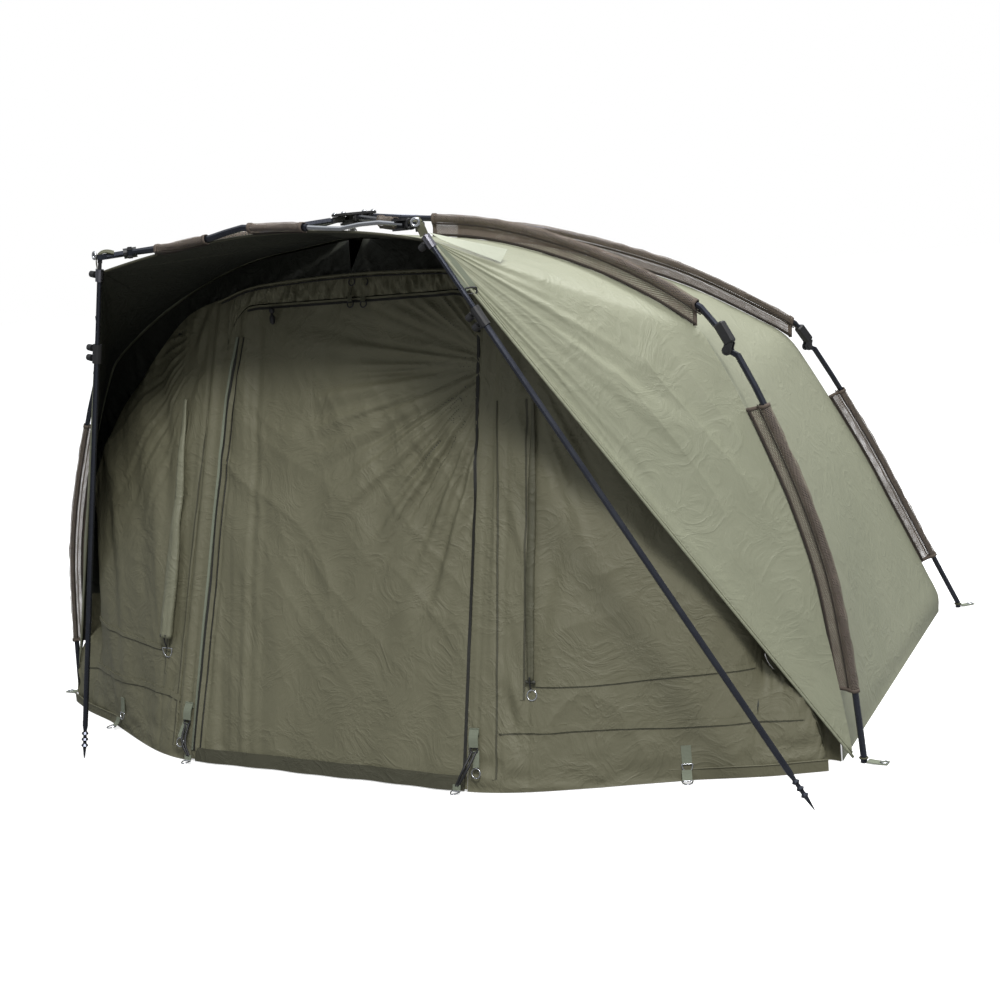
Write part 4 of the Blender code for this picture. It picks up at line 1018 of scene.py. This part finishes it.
# Brow bar sleeves, and short sleeves on the front ribs
BAR_KNOTS = (
    (-1.0, 0.0), (-0.70, 0.10), (-0.33, 0.50), (-0.15, 1.0), (-0.04, 0.90),
    (0.29, 0.62), (0.62, 0.15), (0.80, 0.40), (1.0, 0.0),
)
bar_line = spline([np.array([0.4187 * x, -0.9781, 1.3798 + 0.032 * rise]) for x, rise in BAR_KNOTS], 241)
for label, low, high in (("left", -0.66, -0.33), ("right", -0.04, 0.29)):
    line = bar_line[(bar_line[:, 0] >= low * 0.491) & (bar_line[:, 0] <= high * 0.491)]
    hem = roof_edge(line[:, 0] / 0.511)
    reach = np.linalg.norm(hem - line, axis=1)
    depth = float(reach.mean()) - 0.002
    made = mesh_sleeve(f"brow_mesh_{label}", line, unit(hem - line), depth, "brow_bar", seed=140)
    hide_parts(f"brow_sleeve_{label}")
    arm = ARM["front", label]
    start, end = (0.34, 0.52) if label == "left" else (0.42, 0.66)
    corner = CORNER[label]
    line = spline([arm.pivot + (corner - arm.pivot) * start, arm.pivot + (corner - arm.pivot) * end], 40)
    below = np.tile(-UP, (40, 1))
    mesh_sleeve(f"front_rib_mesh_{label}", line, below, 0.020, f"front_rib_{label}", seed=150)


# Webbing and rings
def hoop(path, wire, around=10):
    """A closed ring of wire through the points of a flat closed path."""
    path = np.asarray(path, float)
    t = unit(np.roll(path, -1, 0) - np.roll(path, 1, 0))
    centre = path.mean(0)
    flat = unit(np.cross(t, path - centre).sum(0))
    out = np.cross(t, flat)
    a = np.linspace(0, 2 * np.pi, around, endpoint=False)
    turned = out[:, None] * np.cos(a)[None, :, None] + flat * np.sin(a)[None, :, None]
    return path[:, None] + wire * turned


def d_ring(top, side, down, width, drop, wire=0.0017):
    """A D-shaped ring: a straight bar along side through top, and a half round below it."""
    a = np.linspace(0, np.pi, 19)
    bow = top + np.outer(np.cos(a) * width / 2, side) + np.outer(np.sin(a) * drop, down)
    bar = top + np.outer(np.linspace(-0.42, 0.42, 7) * width, side)
    return hoop(np.vstack([bow, bar]), wire)


def box_ring(centre, side, down, width, height, wire=0.0018):
    """A ring with a rounded box outline."""
    a = np.linspace(0, 2 * np.pi, 36, endpoint=False)
    x, y = np.cos(a), np.sin(a)
    far = (x**6 + y**6) ** (1 / 6)
    return hoop(centre + np.outer(x / far * width / 2, side) + np.outer(y / far * height / 2, down), wire)


def mirrored(hand, place):
    """A place given for the right side, on the right (hand 1) or on the left (hand -1)."""
    return P(hand * place[0], *place[1:])


def fitting(name, grid, finish, body="tent", loop=True):
    """A small hard piece, a closed ring or a closed rod, in the slot of its finish."""
    return piece(name, grid, finish, body, wrap=True, loop=loop)


def strap(name, path, face, width, body="tent", finish=web_tape, thick=0.0018):
    """A flat strap of webbing along a smooth line through a few points."""
    return band(name, spline(path, 24), face, width, thick, finish, body)


def short_cord(name, path, radius, around):
    """A taut elastic cord along a path of points, fixed to the object at both of its ends."""
    made = fitting(name, tube(path, radius, around), black_moulding, loop=False)


# Places of the straps and rings, as (x, z) on the front or as (x, y, z), for the right side
CLIP_TOP, CLIP_MIDDLE = (0.459, 0.152), (0.462, 0.106)
CLIP_RING = (0.474, -0.446, 0.060)
CORD_WAY, CORD_END = (0.450, -0.462, 0.060), (0.430, -0.472, 0.016)
ROLL_RIGHT = ((0.567, 0.930), (0.581, 0.689), (0.587, 0.452), (0.596, 0.262))
ROLL_RIGHT_RADII = (0.004, 0.0090, 0.0105, 0.0110, 0.0095)
COVER_LEFT = ((-0.558, 0.960), (-0.545, 0.740), (-0.549, 0.522), (-0.562, 0.312))
COVER_LEFT_RADII = (0.006, 0.012, 0.016, 0.022, 0.024)
ARCH_RINGS = (
    (0.006, -0.088, 1.255), (0.048, -0.088, 1.252), (0.008, -0.108, 1.198), (0.050, -0.108, 1.196)
)
ZIP_PULL = (-0.248, -0.118, 1.192)
SLIDER_RADII = (0.003, 0.0058, 0.0064, 0.0064, 0.0060, 0.0050, 0.003)
PULL_TAB_RADII = (0.002, 0.0030, 0.0052, 0.0062, 0.0066, 0.0066, 0.0062, 0.0050, 0.002)
TIE_STRAP = ((0.524, -0.481, 1.325), (0.552, -0.463, 1.286), (0.585, -0.448, 1.232), (0.589, -0.445, 1.222))
TIE_INSET = 0.010
BOLTS = ((-0.8, -0.35), (-0.8, 0.35), (0.8, -0.35), (0.8, 0.35), (0, -0.8), (0, 0.8))
CORNER_STRAP = (
    (0.462, -0.470, 1.384), (0.474, -0.482, 1.389), (0.488, -0.492, 1.386),
    (0.500, -0.497, 1.372), (0.506, -0.492, 1.350),
)
CORNER_PATCH = (
    (0.508, -0.474, 1.352), (0.622, -0.326, 1.300), (0.614, -0.350, 1.272), (0.526, -0.459, 1.334)
)
UPPER_PEG = {"right": (0.934, 0.088), "left": (-0.826, 0.106)}
LOWER_PEG = {"right": (0.936, 0.030), "left": (-0.868, 0.036)}
for label, hand in SIDES:
    out = unit(np.array([hand * 0.42, -0.90, 0.0]))
    side = unit(np.cross(out, UP))
    place = on_cloth(fronts[label], *UPPER_PEG[label])[0][0] + out * 0.004
    path = [place, place - UP * 0.022 + out * 0.002, place - UP * 0.044 + out * 0.005]
    strap(f"upper_peg_web_{label}", path, out, 0.024)
    ring = d_ring(place - UP * 0.045 + out * 0.006, side, unit(DOWN + out * 0.25), 0.026, 0.020)
    fitting(f"upper_peg_ring_{label}", ring, bright_metal)
    place = on_cloth(fronts[label], *LOWER_PEG[label])[0][0] + out * 0.006
    path = [place, place - UP * 0.012 + out * 0.006, place - UP * 0.021 + out * 0.016]
    strap(f"lower_peg_web_{label}", path, out + UP * 0.3, 0.024)
    ring = d_ring(place - UP * 0.0215 + out * 0.017, side, unit(out - UP * 0.04), 0.026, 0.022)
    fitting(f"lower_peg_ring_{label}", ring, bright_metal)
    # Strap, buckle and rings at the foot of the door's zip
    face = unit(np.array([0, -1, 0.25]))
    top = on_cloth(fronts[label], hand * CLIP_TOP[0], CLIP_TOP[1])[0][0] + face * 0.008
    mid = on_cloth(fronts[label], hand * CLIP_MIDDLE[0], CLIP_MIDDLE[1])[0][0] + face * 0.012
    strap(f"clip_web_{label}", [top, (top + mid) / 2 + face * 0.004, mid], face, 0.026, thick=0.0022)
    strap(f"clip_web_fold_{label}", [top + face * 0.0025, top + face * 0.003 - UP * 0.016], face, 0.026)
    side = np.array([1.0, 0, 0])
    ring = box_ring(mid - UP * 0.007, side, unit(mid - top), 0.020, 0.012, 0.0022)
    fitting(f"clip_loop_{label}", ring, black_moulding)
    low = mirrored(hand, CLIP_RING)
    strap(f"ring_web_{label}", [mid - UP * 0.008 + side * hand * 0.006, low + UP * 0.004], face, 0.018)
    ring = torus(low - UP * 0.010 + face * 0.003, face, 0.012, 0.0017, 36)
    fitting(f"clip_ring_{label}", ring, bright_metal)
    end = mirrored(hand, CORD_END)
    for shift in (-0.005, 0.006):
        path = [
            mid - UP * 0.010 + side * shift,
            mirrored(hand, CORD_WAY) + side * shift,
            end + UP * 0.006 + side * shift * 0.5,
        ]
        short_cord(f"bungee_{label}_{'a' if shift < 0 else 'b'}", spline(path, 30), 0.0032, 12)
    strap(f"end_web_{label}", [end + UP * 0.010, end - UP * 0.004 + face * 0.004], face, 0.022)
    ring = d_ring(end - UP * 0.006 + face * 0.006, side, unit(face * 0.9 - UP * 0.25), 0.022, 0.020)
    fitting(f"end_ring_{label}", ring, bright_metal)
    # Foot tabs, their eyelets and the tie ring beside each side foot
    for kind in ("side", "rear"):
        arm = ARM[kind, label]
        start = arm.foot + arm.out * 0.010
        path = [
            start + UP * 0.0050,
            start + arm.out * 0.014 + UP * 0.0034,
            start + arm.out * 0.034 + UP * 0.0026,
            start + arm.out * 0.0500 + UP * 0.0026,
        ]
        made = strap(f"{kind}_tab_web_{label}", path, UP, 0.026, f"{kind}_leg_{label}", thick=0.0024)
        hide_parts(f"{kind}_foot_tab_{label}")
        ring = torus(start + arm.out * 0.039 + UP * 0.0042, UP, 0.0085, 0.0022, 36)
        fitting(f"{kind}_tab_eyelet_{label}", ring, bright_metal, f"{kind}_leg_{label}")
        name, ring = f"{kind}_tab_collar_{label}", torus(arm.foot + UP * 0.012, UP, 0.0094, 0.0022, 32)
        piece(name, ring, olive_tape, f"{kind}_leg_{label}", wrap=True, loop=True)

# Seams, zips and tapes of the front
WINDOW_SEAM = {
    "right": ((0.604, 0.255), (0.752, 0.252), (0.925, 0.260), (1.074, 0.258)),
    "left": ((-1.030, 0.299), (-0.785, 0.288), (-0.598, 0.284)),
}
SKIRT_SEAM = {
    "right": ((0.519, 0.147), (0.754, 0.147), (0.967, 0.138), (1.185, 0.136)),
    "left": ((-1.160, 0.130), (-1.001, 0.148), (-0.624, 0.168), (-0.500, 0.159)),
}
ZIP_LEFT = (
    (-0.438, 0.030), (-0.432, 0.300), (-0.426, 0.500), (-0.413, 0.848), (-0.399, 1.000), (-0.381, 1.125)
)
ZIP_RIGHT = ((0.438, 0.030), (0.430, 0.400), (0.420, 0.800), (0.410, 1.105))
PILLAR_SEAMS = ((0.519, 0.034), (0.511, 0.217), (0.487, 0.693), (0.470, 0.930)), (
    (0.578, 0.218), (0.562, 0.692), (0.548, 0.930)
)

for label, hand in SIDES:
    front = fronts[label]
    for name, seam, width, thick, drop in (
        ("window", WINDOW_SEAM[label], 0.012, 0.0030, 0.0075),
        ("skirt", SKIRT_SEAM[label], 0.016, 0.0028, 0.0095),
    ):
        tape_on(f"{name}_seam_{label}", front, seam, width, thick, front_cloth)
        # Under each seam, a thin strip of the darker hem cloth: a painted shadow line.
        crease = [(x, z - drop) for x, z in seam]
        tape_on(f"{name}_crease_{label}", front, crease, 0.0026, 0.0014, hem_cloth)
    for count, line in enumerate(PILLAR_SEAMS):
        line = [(hand * x, z) for x, z in line]
        tape_on(f"pillar_seam_{label}_{count + 1}", front, line, 0.0045, 0.0014, hem_cloth)
        fell = [(x - hand * 0.006, z) for x, z in line]
        tape_on(f"pillar_fell_{label}_{count + 1}", front, fell, 0.0070, 0.0020, front_cloth)
    base = spline([P(hand * x, y, 0.015) for x, y in BASE_KNOTS[1:]], 90)
    face = unit(np.stack([np.gradient(base[:, 1]), -np.gradient(base[:, 0]), 0 * base[:, 0]], 1)) * hand
    band(f"base_hem_{label}", base + face * 0.007, face, 0.028, 0.0030, front_cloth)
    cord = tube(base + face * 0.009 + UP * 0.0145, 0.0018, 8)
    piece(f"base_piping_{label}", cord, front_cloth, wrap=True)

# The last strip, edge, is dark zip tape beside the flap: a painted shadow line along the flap's edge.
for name, off, width, thick, paint in (
    ("piping", 0.000, 0.0070, 0.0036, web_tape),
    ("tape", 0.008, 0.0070, 0.0022, zip_black),
    ("flap", 0.018, 0.0130, 0.0030, front_cloth),
    ("edge", 0.0265, 0.0030, 0.0018, zip_black),
):
    tape_on(f"zip_{name}_left", door_grid, [(x + off, z) for x, z in ZIP_LEFT], width, thick, paint, "door")
line = [(x - 0.004, z) for x, z in ZIP_RIGHT]
tape_on("zip_tape_right", door_grid, line, 0.0080, 0.0022, zip_black, "door")
for name, drop, width, thick, paint, lift in (
    ("tape", 0.011, 0.0060, 0.0022, zip_black, 0.0), ("piping", 0.005, 0.0050, 0.0034, front_cloth, 0.001)
):
    line = [(x, float(door_top(x)) - drop) for x in np.linspace(-0.350, 0.395, 24)]
    tape_on(f"zip_{name}_top", door_grid, line, width, thick, paint, "door", lift)
# The door's hem band in the darker hem cloth: partly its own tone, partly painted shade along the door's
# foot.
hem = np.stack([np.linspace(-0.425, 0.436, 80), np.full(80, door_y(0.022) - 0.006), np.full(80, 0.0205)], 1)
hem[:, 1] -= 0.0035 * np.sin(hem[:, 0] * 31) * np.sin(hem[:, 0] * 12)
band("door_hem", hem, np.array([0, -1.0, 0.28]), 0.037, 0.0040, hem_cloth, "door")
for label, hand in SIDES:
    line = gather_line(400, hand)
    line = line[line[:, 2] > 0.60]
    line = spline(line[::8], 160)
    for name, drop, size, paint in (
        ("piping", 0.004, 0.0026, front_cloth), ("zip", 0.012, 0.0022, zip_black)
    ):
        cord = tube(line + np.array([0, -0.010, 0]) - UP * drop, size, 10)
        piece(f"arch_{name}_{label}", cord, paint, wrap=True)

# Window covers, rolled or hanging, with toggle and ring
def cover(name, front, line, radii, finish, body="tent"):
    """A cover rolled into a soft tube along points (x, z) of the front, pressed flat against it."""
    line = front_line(line, 70)
    place, n = on_cloth(front, line[:, 0], line[:, 2])
    n = unit(n.mean(0))
    size = np.interp(np.linspace(0, 1, 70), np.linspace(0, 1, len(radii)), radii)
    size = size * (1 + 0.10 * noise(np.linspace(0, 9, 70), np.zeros(70), 160))
    path = smoothed(place, 8)
    rings = tube(path, size, 24)
    out = ((rings - path[:, None]) * n).sum(-1, keepdims=True)
    rings = rings - n * out * 0.40 + n * (size * 0.55 + 0.006)[:, None, None]
    turn = np.linspace(0, 2 * np.pi, 24, endpoint=False)[None, :]
    crease = noise(np.cos(turn) * 2.5 + np.sin(turn) * 1.5, np.linspace(0, 3, 70)[:, None], 161)
    crease = crease * size[:, None] * 0.14
    rings = rings + unit(rings - path[:, None]) * crease[..., None]
    piece(name, rings, finish, body, wrap=True)
    return path + n * (size * 0.55)[:, None], n


def toggle(name, place, way, body="tent"):
    """A barrel toggle: a short rod, swollen at its ends and waisted in the middle."""
    t = np.linspace(-1, 1, 25)
    size = 0.0052 * np.sqrt(np.clip(1 - t**8, 0.02, 1)) * (0.80 + 0.20 * np.abs(t) ** 1.5)
    rod = tube(place + np.outer(t * 0.014, way), size, 18)
    piece(name, rod, toggle_nylon, body, wrap=True)


# The rolled cover's darker cloth is painted shade.
path, n = cover("window_roll_right", fronts["right"], ROLL_RIGHT, ROLL_RIGHT_RADII, rolled_cloth)
end = path[-1]
toggle("toggle_right", end + n * 0.006 - UP * 0.002, np.array([1.0, 0, 0]))
path = [end + UP * 0.010 + n * 0.010, end - UP * 0.006 + n * 0.012, end - UP * 0.020 + n * 0.008]
short_cord("toggle_loop_right", spline(path, 20), 0.0020, 10)
fitting("window_ring_right", torus(end - UP * 0.036 + n * 0.004, n, 0.0125, 0.0020, 40), bright_metal)
# The left cover's lighter cloth is painted light.
path, n = cover("window_cover_left", fronts["left"], COVER_LEFT, COVER_LEFT_RADII, light_cloth)
end = path[-1]
toggle("toggle_left", end + n * 0.012 + UP * 0.006, np.array([1.0, 0, 0]))
path = [end + UP * 0.012 + n * 0.012, end - UP * 0.010 + n * 0.012, end - UP * 0.032 + n * 0.006]
short_cord("toggle_loop_left", spline(path, 20), 0.0020, 10)
ring = d_ring(end - UP * 0.030 + n * 0.006, np.array([1.0, 0, 0]), DOWN, 0.034, 0.026)
fitting("window_ring_left", ring, bright_metal)

# Rings over the door, the zip's puller and the tie strap
LEAN = unit(np.array([0, -DOOR_TOP, ZIP_HEAD[1] - DOOR_FOOT[1]]))
for count, place in enumerate(ARCH_RINGS):
    place = P(*place)
    fitting(f"arch_ring_{count + 1}", torus(place - UP * 0.004, LEAN, 0.0095, 0.0017, 32), black_moulding)
    path = [place + UP * 0.016 - LEAN * 0.002, place + UP * 0.002 + LEAN * 0.002]
    strap(f"arch_ring_tab_{count + 1}", path, LEAN, 0.014, finish=olive_tape)
pull = P(*ZIP_PULL)
rod = tube(pull + np.outer(np.linspace(0.008, -0.008, 7), UP), SLIDER_RADII, 14, 0.6)
fitting("zip_slider", rod, black_moulding, "door", loop=False)
rod = tube(pull - np.outer(np.linspace(0.008, 0.038, 9), UP) + LEAN * 0.002, PULL_TAB_RADII, 14, 0.7)
fitting("zip_pull_tab", rod, black_moulding, "door", loop=False)
for label, hand in SIDES:
    face = unit(np.array([hand * 0.62, -0.74, 0.20]))
    tie = [mirrored(hand, point) - face * TIE_INSET for point in TIE_STRAP]
    made = strap(f"tie_strap_{label}", tie, face, 0.025, f"side_rib_{label}", thick=0.0024)
    gathers(made)
    side = unit(np.cross(face, UP))
    ring = box_ring(tie[-1] - UP * 0.004 + face * 0.002, side, DOWN, 0.026, 0.014, 0.0018)
    made = fitting(f"tie_strap_hook_{label}", ring, black_moulding, f"side_rib_{label}")
    gathers(made)

# Finishes of the frame's own solids
HARD = (
    (frame_tube, ("_rib_", "_leg_", "pole_tube", "pole_rod", "brow_bar")),
    (bright_metal, ("brow_rod",)),
    (knurled_metal, ("pole_collar",)),
    (black_moulding, ("",)),
)
for obj in frame_parts:
    for slot in obj.material_slots:
        slot.material = next(paint for paint, words in HARD if any(word in obj.name for word in words))

# Bolt heads on the hub's plate, the corner eyes, the straps round the corners and the pale corner patches
low, high = (np.array(corner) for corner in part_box("hub_cover_plate"))
for count, (dx, dy) in enumerate(BOLTS):
    place = (low + high) / 2 + [
        dx * (high[0] - low[0]) / 2, dy * (high[1] - low[1]) / 2, (high[2] - low[2]) / 2 - 0.001
    ]
    t = np.linspace(0, 1, 8)
    bolt = tube(place + np.outer(t * 0.006, UP), 0.0065 * np.sqrt(np.clip(1 - t**3, 0.01, 1)), 16)
    fitting(f"hub_bolt_{count + 1}", bolt, bright_metal, loop=False)
for label, hand in SIDES:
    eye, body = CORNER[label] + np.array([hand * 0.004, -0.016, 0.006]), f"front_rib_{label}"
    ring = torus(eye, unit(np.array([hand * 0.4, -0.9, 0.1])), 0.0085, 0.0032, 28)
    fitting(f"corner_eye_{label}", ring, bright_metal, body)
    path = [mirrored(hand, point) for point in CORNER_STRAP]
    face = unit(np.array([hand * 0.3, -0.6, 0.7]))
    strap(f"corner_strap_{label}", path, face, 0.020, body, finish=olive_tape, thick=0.0026)
    corners = [mirrored(hand, point) for point in CORNER_PATCH]
    a, b = np.linspace(0, 1, 30)[:, None, None], np.linspace(0, 1, 12)[None, :, None]
    grid = (corners[0] * (1 - a) + corners[1] * a) * (1 - b) + (corners[3] * (1 - a) + corners[2] * a) * b
    n = facing(normals(grid), grid - INSIDE)
    name, body = f"corner_patch_{label}", f"side_rib_{label}"
    made = sheet_piece(name, grid + n * 0.006, pale_cloth, body, lining=dark_lining)
    gathers(made)

# The front and what is sewn to it each get their own copy of their mesh
for obj in list(bpy.data.objects):
    if obj.type == "MESH" and obj.get("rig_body") in ("tent", "door") and obj not in frame_parts:
        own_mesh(obj)

# Light and floor
SKY_LOW, SKY_HIGH = 0.16, 0.80
FLOOR = 40.0
FLOOR_DROP = 0.0005

world = bpy.data.worlds.new("studio")
bpy.context.scene.world = world
world.use_nodes = True
net = Net(world.node_tree)
seen = net.add("ShaderNodeLightPath").outputs
plain = seen["Is Camera Ray"]
way = net.add("ShaderNodeSeparateXYZ", {0: net.add("ShaderNodeTexCoord").outputs["Generated"]}).outputs
height = net.ramp(way[2], -0.15, 0.95, SKY_LOW, SKY_HIGH)
glow = world.node_tree.nodes["Background"]
world.node_tree.links.new(net.mix(plain, (0.95, 0.98, 1.0, 1), (1, 1, 1, 1)), glow.inputs["Color"])
strength = net.plus(net.times(net.math("SUBTRACT", 1.0, plain), height), plain)
world.node_tree.links.new(strength, glow.inputs["Strength"])

x, y = np.meshgrid(np.linspace(-FLOOR, FLOOR, 3), np.linspace(-FLOOR, FLOOR, 3))
floor = piece("floor", np.stack([x, y, 0 * x - FLOOR_DROP], axis=-1), canopy_cloth)
floor_paint = bpy.data.materials.new("pale_floor")
floor_paint.use_nodes = True
net = Net(floor_paint.node_tree)
shader = floor_paint.node_tree.nodes["Principled BSDF"]
seen = net.add("ShaderNodeLightPath").outputs["Is Camera Ray"]
net.tree.links.new(net.mix(seen, (0.24, 0.24, 0.24, 1), (0.8, 0.8, 0.8, 1)), shader.inputs["Base Color"])
shader.inputs["Roughness"].default_value = 0.9
shader.inputs["Specular IOR Level"].default_value = 0.0
shader.inputs["Emission Color"].default_value = (1, 1, 1, 1)
net.tree.links.new(net.times(seen, 0.62), shader.inputs["Emission Strength"])
floor.data.materials[0] = floor_paint


def lamp(name, place, target, size, power, colour):
    """A square area lamp that looks at a target."""
    data = bpy.data.lights.new(name, "AREA")
    data.shape, data.size, data.energy, data.color = "SQUARE", size, power, colour
    obj = bpy.data.objects.new(name, data)
    back = unit(np.asarray(place, float) - target)
    side = unit(np.cross(UP, back))
    basis = np.eye(4)
    basis[:3, 0], basis[:3, 1], basis[:3, 2], basis[:3, 3] = side, np.cross(back, side), back, place
    obj.matrix_world = Matrix(basis.tolist())
    bpy.context.scene.collection.objects.link(obj)


lamp("key", (3.6, -4.6, 6.2), (0, 0, 0.6), 1.6, 420, (1.0, 0.99, 0.97))
lamp("top", (1.5, 2.0, 6.5), (0.3, 0.2, 0.6), 3.0, 330, (1.0, 1.0, 1.0))
